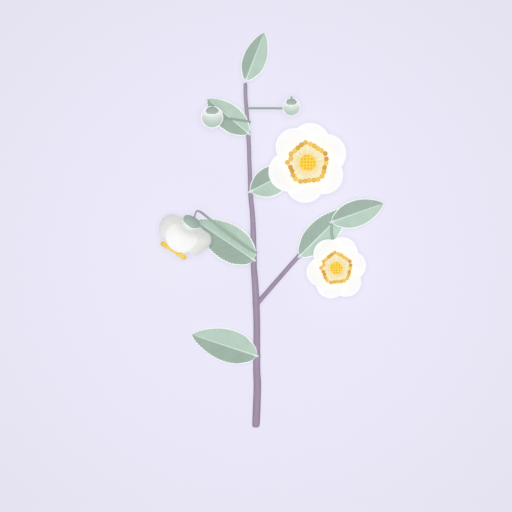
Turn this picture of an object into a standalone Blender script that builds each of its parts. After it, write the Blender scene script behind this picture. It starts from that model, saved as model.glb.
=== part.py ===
"""Flowering tea sprig, cut and laid down.

Millimetres here, metres in the scene. +Y runs from the cut end to the tip, +Z is up, and z = 0 is
the surface that the sprig lies on. It touches the surface at the cut end of the stem, under the
two open flowers and at the rim of the nodding flower.
"""
import math
import random

import bmesh
import bpy
from mathutils import Matrix, Vector

MM = 0.001
SEED = 7

# Clearance between nodes that grow into each other
GAP = 0.3
ROOT_REACH = 0.6
MERGE = 0.0000005

# Stem: centre line x, y, z and radius, from the cut end to the tip
STEM_ROUTE = [
    (-8.3, -102.7, 2.00, 1.00),
    (-8.3, -102.45, 2.00, 1.42),
    (-8.3, -101.9, 2.00, 1.78),
    (-8.2, -101.0, 2.02, 1.94),
    (-8.0, -96.3, 2.25, 2.00),
    (-7.8, -91.1, 2.60, 1.98),
    (-7.5, -80.7, 3.30, 1.95),
    (-7.8, -72.9, 3.90, 1.85),
    (-7.8, -60.0, 4.80, 1.75),
    (-7.8, -46.9, 5.80, 1.72),
    (-8.3, -35.0, 6.80, 1.72),
    (-8.8, -26.1, 7.40, 1.68),
    (-9.3, -19.3, 7.90, 1.55),
    (-9.6, -2.7, 8.80, 1.45),
    (-9.8, 4.1, 9.00, 1.35),
    (-10.3, 11.3, 9.20, 1.25),
    (-10.8, 15.5, 9.30, 1.22),
    (-11.7, 36.3, 9.50, 1.08),
    (-11.9, 44.1, 9.40, 1.08),
    (-12.9, 59.7, 9.10, 1.00),
    (-13.6, 68.5, 8.60, 0.97),
    (-13.7, 75.7, 8.00, 0.93),
    (-13.7, 76.4, 7.95, 0.60),
]
# Side branch: starts in the stem, ends under the small open flower
BRANCH_ROUTE = [
    (-7.6, -38.2, 6.50, 1.10),
    (-6.2, -36.6, 6.40, 1.15),
    (3.7, -25.3, 5.60, 1.12),
    (14.1, -13.6, 4.90, 1.08),
    (17.0, -11.5, 4.55, 1.02),
    (20.4, -10.5, 4.30, 0.98),
    (25.1, -9.7, 4.10, 0.92),
    (29.0, -9.0, 4.00, 0.88),
]
# Green shoot: round the edge of the lower branch leaf and over it
SHOOT_ROUTE = [
    (29.4, -8.9, 4.00, 0.66),
    (31.6, -8.9, 4.10, 0.66),
    (33.0, -8.5, 4.80, 0.68),
    (33.2, -7.4, 6.20, 0.70),
    (32.4, -5.9, 7.15, 0.70),
    (31.5, -4.2, 7.40, 0.70),
    (31.1, -2.0, 7.40, 0.68),
    (31.0, 1.0, 7.40, 0.66),
    (31.0, 3.6, 7.40, 0.62),
]

# Leaves: blade length and half widths in plan, heading counter-clockwise from +X in degrees,
# fall of the tip below the base; left is the side to the left of the heading
LEAF_THICKNESS = 0.6
LEAF_ROWS = 20
LEAF_COLUMNS = 4
LEAF_SEAT = 1.15
LEAF_BASE_HALF_WIDTH = 0.5
LEAF_BASE_FULLNESS = 0.60
LEAF_TIP_FULLNESS = 0.70
LEAF_WAVE = 0.22
TOOTH_HEIGHT = 0.34
TOOTH_LEAN = 0.72
TOOTH_START = 0.16
PETIOLE_RADIUS = 0.55
PETIOLE_END_RADIUS = 0.30
PETIOLE_REACH = 4.0
PETIOLE_DROP = 0.25
LEAVES = [
    dict(name="leaf_lower_left", base=(-8.0, -65.4), carrier="stem", heading=162.0,
         length=35.3, left=8.0, right=8.8, widest=0.43, fall=5.4, bend=1.2, fold=0.10),
    dict(name="leaf_middle_left", base=(-9.3, -15.6), carrier="stem", heading=146.0,
         length=36.4, left=9.1, right=9.5, widest=0.42, fall=10.46, bend=1.25, fold=-0.15),
    dict(name="leaf_upper_right", base=(-11.1, 19.9), carrier="stem", heading=27.5,
         length=24.0, left=7.5, right=7.7, widest=0.49, fall=7.0, bend=1.2, fold=0.06),
    dict(name="leaf_upper_left", base=(-12.1, 50.1), carrier="stem", heading=140.0,
         length=27.9, left=6.8, right=6.5, widest=0.45, fall=6.6, bend=1.5, fold=-0.03),
    dict(name="leaf_top", base=(-13.5, 77.6), carrier="stem_tip", heading=69.0,
         length=26.6, left=5.7, right=6.4, widest=0.45, fall=4.0, bend=1.2, fold=0.10),
    dict(name="leaf_branch_lower", base=(14.5, -13.6), carrier="branch", heading=45.0,
         length=34.8, left=7.5, right=7.2, widest=0.45, fall=2.6, bend=1.2, fold=0.10),
    dict(name="leaf_branch_tip", base=(31.1, 4.1), carrier="shoot", heading=19.6,
         length=28.6, left=6.6, right=6.9, widest=0.46, fall=2.8, bend=1.2, fold=0.10),
]

# Petals of the open flowers, and the base they grow from: radius and height over the floor
PETAL_BASE = [(0.0, 1.0), (2.6, 1.0), (3.3, 0.5), (3.3, -0.2), (2.6, -0.7), (0.0, -0.7)]
PETAL_BASE_TOP = 1.0
PETAL_BASE_DEPTH = 0.7
PETAL_THICKNESS = 0.6
PETAL_ROWS = 6
PETAL_COLUMNS = 5
PETAL_ROOT = 2.2
PETAL_CENTRE = 0.515
PETAL_WIDEST_ANGLE = 54.0
PETAL_CLAW_ANGLE = 34.0
PETAL_CURVE = 1.4
PETAL_STEP = 1.10
PETAL_STEP_ANGLE = 60.0
PETAL_APART = 0.2
# How the edges of each petal lie: a plain petal has its left edge above the next one and its right
# edge below; the lowest has both edges below, the top one both above
PETAL_KINDS = ["lowest", "plain", "plain", "plain", "plain", "top"]
# Petals have a heading and a reach each, clockwise
OPEN_FLOWERS = [
    dict(name="flower_a", centre=(18.56, 34.74), turn=0.0, rise=7.0, floor=5.5,
         petals=[(82.0, 20.8), (26.0, 21.1), (-36.5, 20.5), (-97.0, 20.8), (-155.5, 21.3),
                 (129.5, 20.4)],
         ring=9.8, disc=4.5, anther=1.25, stalk=0.55, root=(22.6, -22.0),
         route=[(-8.2, 22.8, 8.3), (-5.0, 24.2, 7.7), (0.0, 26.5, 6.1), (5.0, 28.8, 4.5),
                (10.0, 31.0, 3.1), (14.5, 33.0, 2.4)]),
    dict(name="flower_b", centre=(33.49, -19.97), turn=-16.0, rise=6.0, floor=5.5,
         petals=[(86.0, 16.7), (26.0, 15.5), (-38.0, 16.4), (-94.0, 16.1), (-150.0, 15.7),
                 (136.0, 16.1)],
         ring=7.45, disc=3.38, anther=0.96, stalk=0.55, root=None,
         route=[(29.3, -10.4, 3.9), (29.8, -12.5, 3.4), (31.4, -16.0, 2.6)]),
]
# Ring of long stamens: it runs clockwise from its first stamen, in five soft corners, and does
# not quite close: the first stamen stands out of the ring and the second stands in
STAMEN_COUNT = 26
STAMEN_START = 179.0
STAMEN_CORNERS = 5
STAMEN_CORNER_DEPTH = 0.07
STAMEN_CORNER_TURN = 24.0
STAMEN_FIRST_OUT = 0.035
STAMEN_SECOND_IN = 0.14
STAMEN_JITTER = 0.2
STAMEN_TURN_JITTER = 1.2
FILAMENT_RADIUS = 0.32
DISC_SPACING = 0.58
DISC_BALL = 0.25
SEPAL_COUNT = 5
SEPAL_THICKNESS = 0.7
SEPAL_TURN = 18.0
SEPAL_ROOT = 1.8
SEPAL_LENGTH = 4.6
SEPAL_HALF_ANGLE = 34.0
SEPAL_HEIGHT = 2.75
SEPAL_RISE = 1.3
# Receptacle under the sepals: it stands on a small flat foot
FOOT_RADIUS = 1.6
RECEPTACLE_RADIUS = 2.9
RECEPTACLE_HEIGHT = 3.0

# Nodding flower: its calyx, and the direction from calyx to mouth
NOD_CALYX = (-41.8, 3.8, 16.05)
NOD_HEADING = 237.5
NOD_DIP = 20.5
NOD_CALYX_TILT = 14.8
NOD_CALYX_RADIUS = 5.0
NOD_CALYX_CURVE = 7.5
# Radius and distance from the calyx along the petal, for the front petal and for the others
NOD_FRONT_PROFILE = [(2.5, 1.6), (4.9, 2.9), (7.5, 3.0), (10.4, 3.9), (12.2, 6.8), (12.6, 10.2),
                     (11.7, 13.8)]
NOD_LEFT_PROFILE = [(2.4, 1.1), (4.9, 2.2), (7.5, 3.0), (10.3, 4.5), (12.0, 7.0), (12.4, 9.6),
                    (11.6, 12.8)]
NOD_SIDE_PROFILE = [(2.4, 1.1), (4.9, 2.0), (7.5, 2.5), (10.6, 3.6), (12.2, 6.2), (12.6, 9.2),
                    (12.0, 12.4)]
# Heading, half angle, how the edges lie, and profile
NOD_PETALS = [
    (91.0, 42.0, "outside", NOD_FRONT_PROFILE),
    (152.0, 46.0, "left", NOD_LEFT_PROFILE),
    (212.0, 46.0, "left", NOD_LEFT_PROFILE),
    (270.0, 46.0, "inside", NOD_SIDE_PROFILE),
    (328.0, 46.0, "right", NOD_SIDE_PROFILE),
    (24.0, 46.0, "right", NOD_SIDE_PROFILE),
]
# The petals bulge towards both sides, by a heading and a size, and are pulled back as they do
NOD_FLARES = [(8.0, 2.2), (172.0, 1.0)]
NOD_FLARE_PULL = 0.7
NOD_RING = 6.6
NOD_RING_DISTANCE = 18.4
# Anthers are smaller on the ring's upper and lower sides: size, smallest share and growth
NOD_ANTHER = 1.3
NOD_ANTHER_LEAST = 0.7
NOD_ANTHER_GROWTH = 0.5
# Stalk: x, y, z and radius; it ends at an angle from the calyx's own middle, in degrees
NOD_STALK = [(-7.9, -11.9, 11.6, 0.52), (-8.8, -11.5, 12.9, 0.58), (-11.5, -10.0, 13.3, 0.66),
             (-17.5, -5.7, 13.4, 0.68), (-25.6, 0.4, 14.9, 0.68), (-32.6, 5.8, 17.2, 0.66),
             (-36.9, 9.2, 19.0, 0.62), (-38.8, 9.7, 18.9, 0.50), (-39.5, 8.6, 17.6, 0.42)]
NOD_STALK_ROOT = (-12.0, 42.0)
NOD_STALK_ROOT_RADIUS = 0.52
NOD_STALK_END_ANGLE = 20.0
# Radius and distance from the calyx of the base that carries the petals, and of the stamens'
NOD_PETAL_BASE = [(0.0, 2.9), (2.4, 2.9), (3.2, 2.5), (3.2, 1.2), (2.4, 0.5), (0.0, 0.3)]
NOD_STAMEN_BASE = [(0.0, 8.0), (1.2, 7.6), (1.9, 6.0), (1.9, 3.2), (0.0, 3.2)]
NOD_FILAMENT_START = 6.2
NOD_ANTHER_ANGLES = [-66, -46, -26, -8, 10, 29, 49, 70, 112, 132, 152, 171, 189, 207, 227, 247]
NOD_ANTHER_JITTER = 4.0

# Buds: globe radius and centre, calyx tilt from straight up towards +Y
BUD_CALYX_TILT = 36.0
BUD_CALYX_SQUASH = 0.26
BUD_STALK_RADIUS = 0.55
BUD_NECK_RADIUS = 0.38
BUD_CALYX_THICKNESS = 0.6
CALYX_LOBE = 0.03
# Hook of the stalk round a bud: angle from straight up and extra clearance
BUD_HOOK = [(152.0, 0.25), (125.0, 0.05), (100.0, -0.12), (80.0, -0.16), (58.0, -0.10)]
BUDS = [
    dict(name="bud_left", centre=(-30.9, 58.45, 16.7), radius=5.72, cap=3.45,
         root=(56.0, 45.0),
         route=[(-11.3, 56.1, 11.8), (-12.4, 56.3, 13.0), (-15.8, 56.8, 12.8),
                (-21.2, 57.6, 11.5), (-25.4, 58.1, 10.4), (-29.0, 58.9, 10.0)]),
    dict(name="bud_right", centre=(10.2, 63.6, 15.0), radius=4.58, cap=2.9,
         root=(63.1, 15.0),
         route=[(-9.0, 63.1, 9.5), (0.0, 63.1, 9.6), (5.5, 63.1, 9.45), (8.8, 63.8, 9.4)]),
]

# Colours, sRGB
BARK_COLOUR = "A594AA"
LEAF_COLOUR = "ADC3B6"
STALK_COLOUR = "9DB4A3"
PETAL_COLOUR = "FCFCFA"
STAMEN_COLOUR = "EFC24C"
BUD_COLOUR = "DDE8DF"

# Edges sharper than this stay sharp
SHARP_ANGLE = 50.0


def linear_colour(code):
    """Linear colour of an sRGB hex code."""
    channels = []
    for start in (0, 2, 4):
        value = int(code[start:start + 2], 16) / 255.0
        if value <= 0.04045:
            channels.append(value / 12.92)
        else:
            channels.append(((value + 0.055) / 1.055) ** 2.4)
    return (*channels, 1.0)


def give_material(piece, colour, roughness):
    """Give a node a Principled material of its own."""
    material = bpy.data.materials.new(piece.name + "_surface")
    material.use_nodes = True
    shader = material.node_tree.nodes["Principled BSDF"]
    shader.inputs["Base Color"].default_value = linear_colour(colour)
    shader.inputs["Roughness"].default_value = roughness
    shader.inputs["Metallic"].default_value = 0.0
    material.diffuse_color = linear_colour(colour)
    piece.data.materials.clear()
    piece.data.materials.append(material)


def new_collection(name):
    """A collection in the scene."""
    collection = bpy.data.collections.new(name)
    bpy.context.scene.collection.children.link(collection)
    return collection


def mesh_object(name, shape, collection):
    """An object from a bmesh that is then freed."""
    mesh = bpy.data.meshes.new(name)
    shape.to_mesh(mesh)
    shape.free()
    piece = bpy.data.objects.new(name, mesh)
    collection.objects.link(piece)
    return piece


def apply_modifiers(piece):
    """Replace a piece's mesh by what its modifiers make of it."""
    depsgraph = bpy.context.evaluated_depsgraph_get()
    result = bpy.data.meshes.new_from_object(piece.evaluated_get(depsgraph))
    piece.modifiers.clear()
    old = piece.data
    piece.data = result
    bpy.data.meshes.remove(old)


def tidy_body(piece):
    """Weld, triangulate and keep the one body, without scraps or sealed hollows."""
    shape = bmesh.new()
    shape.from_mesh(piece.data)
    bmesh.ops.remove_doubles(shape, verts=shape.verts, dist=MERGE)
    bmesh.ops.triangulate(shape, faces=shape.faces)
    waiting = set(shape.verts)
    islands = []
    while waiting:
        start = waiting.pop()
        island = {start}
        front = [start]
        while front:
            vert = front.pop()
            for edge in vert.link_edges:
                other = edge.other_vert(vert)
                if other in waiting:
                    waiting.remove(other)
                    island.add(other)
                    front.append(other)
        islands.append(island)
    islands.sort(key=len, reverse=True)
    for island in islands[1:]:
        bmesh.ops.delete(shape, geom=list(island), context="VERTS")
    bmesh.ops.recalc_face_normals(shape, faces=shape.faces)
    shape.to_mesh(piece.data)
    shape.free()


def fuse(base, others, solver="EXACT"):
    """Join shapes to a base by one Boolean union on a collection."""
    fused = new_collection(base.name + "_joined")
    for other in others:
        for collection in list(other.users_collection):
            collection.objects.unlink(other)
        fused.objects.link(other)
    union = base.modifiers.new("Union", "BOOLEAN")
    union.operation = "UNION"
    union.operand_type = "COLLECTION"
    union.collection = fused
    union.solver = solver
    apply_modifiers(base)
    for other in list(fused.objects):
        bpy.data.objects.remove(other)
    bpy.data.collections.remove(fused)
    tidy_body(base)
    return base


def route_slope(points, index):
    """Direction of a route at one of its points, per millimetre of its length."""
    before = points[max(index - 1, 0)]
    after = points[min(index + 1, len(points) - 1)]
    here = points[index]
    return (after - before) / max((here - before).length + (after - here).length, 0.001)


def smooth_route(points, steps):
    """Points on a smooth curve through a route's own points, ends kept."""
    vectors = [Vector(point) for point in points]
    route = []
    for index in range(len(vectors) - 1):
        start, end = vectors[index], vectors[index + 1]
        span = (end - start).length
        leaving = route_slope(vectors, index) * span
        arriving = route_slope(vectors, index + 1) * span
        for step in range(steps):
            t = step / steps
            route.append(start * (2 * t ** 3 - 3 * t ** 2 + 1) + leaving * (t ** 3 - 2 * t ** 2 + t)
                         + end * (3 * t ** 2 - 2 * t ** 3) + arriving * (t ** 3 - t ** 2))
    route.append(vectors[-1])
    return route


def tube(name, route, radii, collection, resolution=2):
    """A closed round tube along a route in millimetres."""
    curve = bpy.data.curves.new(name, "CURVE")
    curve.dimensions = "3D"
    curve.bevel_depth = MM
    curve.bevel_resolution = resolution
    curve.use_fill_caps = True
    spline = curve.splines.new("POLY")
    spline.points.add(len(route) - 1)
    for point, place, radius in zip(spline.points, route, radii):
        point.co = (place[0] * MM, place[1] * MM, place[2] * MM, 1.0)
        point.radius = radius
    drawn = bpy.data.objects.new(name + "_curve", curve)
    collection.objects.link(drawn)
    depsgraph = bpy.context.evaluated_depsgraph_get()
    mesh = bpy.data.meshes.new_from_object(drawn.evaluated_get(depsgraph))
    piece = bpy.data.objects.new(name, mesh)
    piece.matrix_world = drawn.matrix_world
    collection.objects.link(piece)
    bpy.data.objects.remove(drawn)
    bpy.data.curves.remove(curve)
    tidy_body(piece)
    return piece


def route_tube(name, stations, collection):
    """A tube through stations of x, y, z and radius."""
    places = [station[:3] for station in stations]
    radii = [station[3] for station in stations]
    return tube(name, places, radii, collection)


def sheet(name, rows, columns, place, thickness, collection):
    """An open grid shaped by place(along, across), triangulated and made solid."""
    shape = bmesh.new()
    bmesh.ops.create_grid(shape, x_segments=rows, y_segments=columns, size=1.0)
    for vert in shape.verts:
        vert.co = place((vert.co.x + 1.0) / 2.0, vert.co.y) * MM
    bmesh.ops.remove_doubles(shape, verts=shape.verts, dist=MERGE)
    bmesh.ops.triangulate(shape, faces=shape.faces)
    piece = mesh_object(name, shape, collection)
    solid = piece.modifiers.new("Solidify", "SOLIDIFY")
    solid.thickness = thickness * MM
    solid.offset = 0.0
    apply_modifiers(piece)
    return piece


def turned(name, profile, steps, collection):
    """A turned solid from radius and height pairs, top to bottom."""
    mesh = bpy.data.meshes.new(name)
    points = [(radius * MM, 0.0, height * MM) for radius, height in profile]
    edges = [(index, index + 1) for index in range(len(points) - 1)]
    mesh.from_pydata(points, edges, [])
    piece = bpy.data.objects.new(name, mesh)
    collection.objects.link(piece)
    screw = piece.modifiers.new("Screw", "SCREW")
    screw.steps = steps
    screw.render_steps = steps
    screw.use_merge_vertices = True
    screw.merge_threshold = MERGE
    apply_modifiers(piece)
    tidy_body(piece)
    return piece


def ball(name, centre, radius, collection):
    """A small low ball, centre and radius in millimetres."""
    shape = bmesh.new()
    place = Matrix.Translation(Vector(centre) * MM)
    bmesh.ops.create_icosphere(shape, subdivisions=1, radius=radius * MM, matrix=place)
    return mesh_object(name, shape, collection)


def rod(name, start, end, radius, sides, collection):
    """A straight closed rod between two points in millimetres."""
    start = Vector(start)
    end = Vector(end)
    turn = (end - start).to_track_quat("Z", "Y").to_matrix().to_4x4()
    place = Matrix.Translation((start + end) / 2 * MM) @ turn
    shape = bmesh.new()
    bmesh.ops.create_cone(shape, cap_ends=True, cap_tris=False, segments=sides,
                          radius1=radius * MM, radius2=radius * MM,
                          depth=(end - start).length * MM, matrix=place)
    return mesh_object(name, shape, collection)


def lobed_cap(name, curve_radius, rim_radius, squash, thickness, place, collection):
    """A five-lobed calyx: a cap of a sphere whose top is at +Z of its place, squashed along Y."""
    shape = bmesh.new()
    bmesh.ops.create_uvsphere(shape, u_segments=15, v_segments=6, radius=1.0)
    low = [vert for vert in shape.verts if vert.co.z < -0.001]
    bmesh.ops.delete(shape, geom=low, context="VERTS")
    rim_angle = math.asin(rim_radius / curve_radius)
    for vert in shape.verts:
        across = math.acos(max(-1.0, min(1.0, vert.co.z))) / (math.pi / 2)
        around = math.atan2(vert.co.y, vert.co.x)
        lobe = 1.0 + CALYX_LOBE * across ** 2 * math.cos(SEPAL_COUNT * around)
        polar = rim_angle * across * lobe * (1.0 - squash * math.sin(around) ** 2)
        vert.co = Vector((math.sin(polar) * math.cos(around), math.sin(polar) * math.sin(around),
                          math.cos(polar))) * curve_radius * MM
    bmesh.ops.triangulate(shape, faces=shape.faces)
    piece = mesh_object(name, shape, collection)
    solid = piece.modifiers.new("Solidify", "SOLIDIFY")
    solid.thickness = thickness * MM
    solid.offset = 0.0
    apply_modifiers(piece)
    piece.data.transform(place)
    return piece


def at_height_of(route, y):
    """Centre and radius of a rising route where it passes y."""
    for low, high in zip(route, route[1:]):
        if low[1] <= y <= high[1]:
            part = (y - low[1]) / (high[1] - low[1])
            values = [a + (b - a) * part for a, b in zip(low, high)]
            return Vector(values[:3]), values[3]
    return Vector(route[-1][:3]), route[-1][3]


def stem_root(y, angle):
    """Two points that lead straight out of the stem at y, at an angle from +X up towards +Z."""
    centre, radius = at_height_of(STEM_ROUTE, y)
    outward = Vector((math.cos(math.radians(angle)), 0.0, math.sin(math.radians(angle))))
    return [centre + outward * (radius + GAP), centre + outward * (radius + GAP + ROOT_REACH)]


def make_stem(collection):
    """Main stem with its side branch."""
    main = route_tube("stem", STEM_ROUTE, collection)
    branch = route_tube("branch", BRANCH_ROUTE, collection)
    fuse(main, [branch])
    give_material(main, BARK_COLOUR, 0.6)


def make_shoot(collection):
    """Green shoot that carries the branch's end leaf."""
    shoot = route_tube("branch_shoot", SHOOT_ROUTE, collection)
    give_material(shoot, STALK_COLOUR, 0.5)


def leaf_outline(along, widest):
    """Share of the half width at a share of the length."""
    power = math.log(0.5) / math.log(widest)
    fullness = LEAF_BASE_FULLNESS if along < widest else LEAF_TIP_FULLNESS
    return math.sin(math.pi * min(along, 1.0) ** power) ** fullness


def leaf_height(leaf, along, y):
    """Height of the blade's middle over its base."""
    fall = leaf["fall"] * along ** leaf["bend"]
    fold = leaf["fold"] * abs(y) * math.sin(math.pi * min(1.0, along * 1.2 + 0.05))
    wave = LEAF_WAVE * math.sin(along * 17.0) * (abs(y) / leaf["left"]) ** 2
    return wave - fall - fold


def leaf_place(leaf, along, across):
    """Point of the blade in the leaf's own frame, +X towards its tip."""
    teeth = LEAF_ROWS // 2
    count = along * teeth
    tooth = math.floor(count + 0.001)
    is_tip = count - tooth > 0.25
    along = (tooth + (TOOTH_LEAN if is_tip else 0.0)) / teeth
    half = leaf["left"] if across > 0 else leaf["right"]
    width = half * leaf_outline(along, leaf["widest"])
    if is_tip and along > TOOTH_START:
        width += TOOTH_HEIGHT * abs(across)
    width = max(width, LEAF_BASE_HALF_WIDTH * (1.0 - along))
    y = width * across
    return Vector((along * leaf["length"], y, leaf_height(leaf, along, y)))


def leaf_base_height(leaf):
    """Height of a leaf's base over what carries it."""
    x, y = leaf["base"]
    if leaf["carrier"] == "stem":
        centre, radius = at_height_of(STEM_ROUTE, y)
        return centre.z + radius + LEAF_SEAT
    if leaf["carrier"] == "branch":
        centre, radius = at_height_of(BRANCH_ROUTE, y)
        return centre.z + radius + LEAF_SEAT
    if leaf["carrier"] == "shoot":
        return SHOOT_ROUTE[-1][2] + SHOOT_ROUTE[-1][3] + LEAF_SEAT
    return STEM_ROUTE[-1][2]


def make_leaf(leaf, collection):
    """Toothed blade with its stalk."""
    blade = sheet(leaf["name"], LEAF_ROWS, LEAF_COLUMNS,
                  lambda along, across: leaf_place(leaf, along, across),
                  LEAF_THICKNESS, collection)
    share = PETIOLE_REACH / leaf["length"]
    route = [Vector((-0.5, 0.0, -PETIOLE_DROP)), Vector((1.2, 0.0, -PETIOLE_DROP)),
             Vector((PETIOLE_REACH, 0.0, leaf_height(leaf, share, 0.0) - 0.05))]
    petiole = tube("petiole", route, [PETIOLE_RADIUS, PETIOLE_RADIUS, PETIOLE_END_RADIUS],
                   collection, resolution=1)
    fuse(blade, [petiole])
    blade.location = Vector((*leaf["base"], leaf_base_height(leaf))) * MM
    blade.rotation_euler.z = math.radians(leaf["heading"])
    give_material(blade, LEAF_COLOUR, 0.45)


def profile_point(profile, share):
    """Point and unit normal of a profile at a share of its length, by smooth interpolation."""
    steps = 8
    route = smooth_route([(radius, height, 0.0) for radius, height in profile], steps)
    place = share * (len(route) - 1)
    index = min(int(place), len(route) - 2)
    point = route[index].lerp(route[index + 1], place - index)
    run = (route[index + 1] - route[index]).normalized()
    return point.x, point.y, Vector((-run.y, run.x))


def edge_lift(kind, turn):
    """Lift of a petal's surface at an angle from its middle, in steps of the overlap."""
    share = turn / math.radians(PETAL_STEP_ANGLE)
    both = math.sqrt(share ** 2 + 0.04) - 0.2
    return dict(plain=share, left=-share, right=share, top=both + PETAL_APART,
                lowest=-both - PETAL_APART, outside=-both, inside=both)[kind]


def open_petal_half_angle(radius, reach):
    """Half angle of a broad round petal at a radius."""
    centre = reach * PETAL_CENTRE
    bulge = reach - centre
    cosine = (radius ** 2 + centre ** 2 - bulge ** 2) / (2 * radius * centre)
    rounded = math.degrees(math.acos(max(-1.0, min(1.0, cosine))))
    opening = min(1.0, (radius - PETAL_ROOT) / (0.3 * reach))
    claw = PETAL_CLAW_ANGLE + (PETAL_WIDEST_ANGLE - PETAL_CLAW_ANGLE) * opening
    return math.radians(min(rounded, claw))


def open_petal_place(flower, heading, reach, kind, along, across):
    """Point of an open flower's petal around its own axis."""
    share = 1.0 - (1.0 - along) ** 2
    radius = PETAL_ROOT + (reach - PETAL_ROOT) * share
    turn = open_petal_half_angle(radius, reach) * across
    height = flower["floor"] + flower["rise"] * (radius / reach) ** PETAL_CURVE
    height += PETAL_STEP * edge_lift(kind, turn)
    angle = math.radians(heading) + turn
    return Vector((radius * math.cos(angle), radius * math.sin(angle), height))


def make_open_petals(flower, collection):
    """Six broad petals that overlap in a spiral, grown together at the base."""
    core = turned(flower["name"] + "_petals",
                  [(radius, flower["floor"] + height) for radius, height in PETAL_BASE], 12,
                  collection)
    petals = []
    for (heading, reach), kind in zip(flower["petals"], PETAL_KINDS):
        petals.append(sheet("petal", PETAL_ROWS, PETAL_COLUMNS,
                            lambda along, across: open_petal_place(flower, heading, reach, kind,
                                                                   along, across),
                            PETAL_THICKNESS, collection))
    fuse(core, petals)
    core.location = Vector((*flower["centre"], 0.0)) * MM
    core.rotation_euler.z = math.radians(flower["turn"])
    give_material(core, PETAL_COLOUR, 0.5)


def sepal_place(heading, along, across):
    """Point of a broad round sepal under an open flower."""
    share = math.sin(along * math.pi / 2)
    radius = SEPAL_ROOT + SEPAL_LENGTH * share
    half = math.radians(SEPAL_HALF_ANGLE) * math.sqrt(max(0.0, 1.0 - along ** 3))
    angle = math.radians(heading) + half * across
    height = SEPAL_HEIGHT + SEPAL_RISE * share ** 2
    return Vector((radius * math.cos(angle), radius * math.sin(angle), height))


def make_open_calyx(flower, collection):
    """Stalk, receptacle with a small flat foot, and sepals."""
    name = flower["name"] + "_calyx"
    top = flower["floor"] - PETAL_BASE_DEPTH - GAP
    body = turned(name, [(0.0, top), (RECEPTACLE_RADIUS - 0.6, top),
                         (RECEPTACLE_RADIUS, RECEPTACLE_HEIGHT), (FOOT_RADIUS + 0.6, 0.9),
                         (FOOT_RADIUS, 0.0), (0.0, 0.0)], 12, collection)
    sepals = []
    for index in range(SEPAL_COUNT):
        heading = 360.0 / SEPAL_COUNT * index + SEPAL_TURN
        sepals.append(sheet("sepal", 3, 2,
                            lambda along, across: sepal_place(heading, along, across),
                            SEPAL_THICKNESS, collection))
    centre = Vector((*flower["centre"], 0.0))
    turn = Matrix.Rotation(math.radians(flower["turn"]), 4, "Z")
    route = [Vector(point) for point in flower["route"]]
    route.append(centre + Vector((0.0, 0.0, 2.0)))
    if flower["root"]:
        route = stem_root(*flower["root"]) + route
    local = [turn.inverted() @ (point - centre) for point in smooth_route(route, 2)]
    stalk = tube("stalk", local, [flower["stalk"]] * len(local), collection, resolution=1)
    fuse(body, sepals + [stalk])
    body.location = centre * MM
    body.rotation_euler.z = math.radians(flower["turn"])
    give_material(body, STALK_COLOUR, 0.5)


def hexagon_places(spacing, reach):
    """Places of a hexagonal pattern within a circle."""
    places = []
    count = int(reach / spacing) + 1
    for row in range(-count, count + 1):
        for step in range(-count, count + 1):
            x = (step + row % 2 * 0.5) * spacing
            y = row * spacing * math.sqrt(0.75)
            if math.hypot(x, y) <= reach:
                places.append((x, y))
    return places


def make_open_stamens(flower, collection):
    """Crowded middle stamens and a ring of long ones."""
    base = flower["floor"] + PETAL_BASE_TOP + GAP
    disc = flower["disc"]
    seat = base + 2.0
    crown = seat + 1.9
    body = turned(flower["name"] + "_stamens",
                  [(0.0, crown), (disc * 0.55, crown - 0.25), (disc * 0.93, crown - 1.0),
                   (disc, crown - 1.6), (disc * 0.72, seat - 0.4), (2.0, base + 0.6),
                   (1.9, base), (0.0, base)], 14, collection)
    grown = []
    for x, y in hexagon_places(disc * DISC_SPACING, disc * 0.7):
        bulge = (math.hypot(x, y) / disc) ** 2
        grown.append(ball("middle_anther", (x, y, crown - 0.25 - bulge), disc * DISC_BALL,
                          collection))
    draw = random.Random(SEED)
    height = flower["floor"] + flower["rise"] * 0.36 + PETAL_STEP + flower["anther"] + 1.1
    for index in range(STAMEN_COUNT):
        angle = STAMEN_START - 360.0 / STAMEN_COUNT * index
        angle += draw.uniform(-STAMEN_TURN_JITTER, STAMEN_TURN_JITTER)
        corner = math.cos(math.radians(STAMEN_CORNERS * (angle - STAMEN_CORNER_TURN)))
        share = 1.0 + STAMEN_CORNER_DEPTH * corner
        if index == 0:
            share += STAMEN_FIRST_OUT
        if index == 1:
            share -= STAMEN_SECOND_IN
        radius = flower["ring"] * share + draw.uniform(-STAMEN_JITTER, STAMEN_JITTER)
        toward = Vector((math.cos(math.radians(angle)), math.sin(math.radians(angle)), 0.0))
        tip = toward * radius + Vector((0.0, 0.0, height))
        root = toward * (disc * 0.5) + Vector((0.0, 0.0, seat))
        grown.append(rod("filament", root, tip, FILAMENT_RADIUS, 3, collection))
        grown.append(ball("anther", tip, flower["anther"], collection))
    fuse(body, grown, "MANIFOLD")
    body.location = Vector((*flower["centre"], 0.0)) * MM
    give_material(body, STAMEN_COLOUR, 0.6)


def nodding_frame():
    """Frame of the nodding flower: +Z from calyx to mouth, +Y up, origin at the calyx."""
    heading = math.radians(NOD_HEADING)
    dip = math.radians(NOD_DIP)
    axis = Vector((math.cos(heading) * math.cos(dip), math.sin(heading) * math.cos(dip),
                   -math.sin(dip)))
    side = Vector((-math.sin(heading), math.cos(heading), 0.0))
    upward = axis.cross(side)
    turn = Matrix((side, upward, axis)).transposed().to_4x4()
    return Matrix.Translation(Vector(NOD_CALYX) * MM) @ turn


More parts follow.
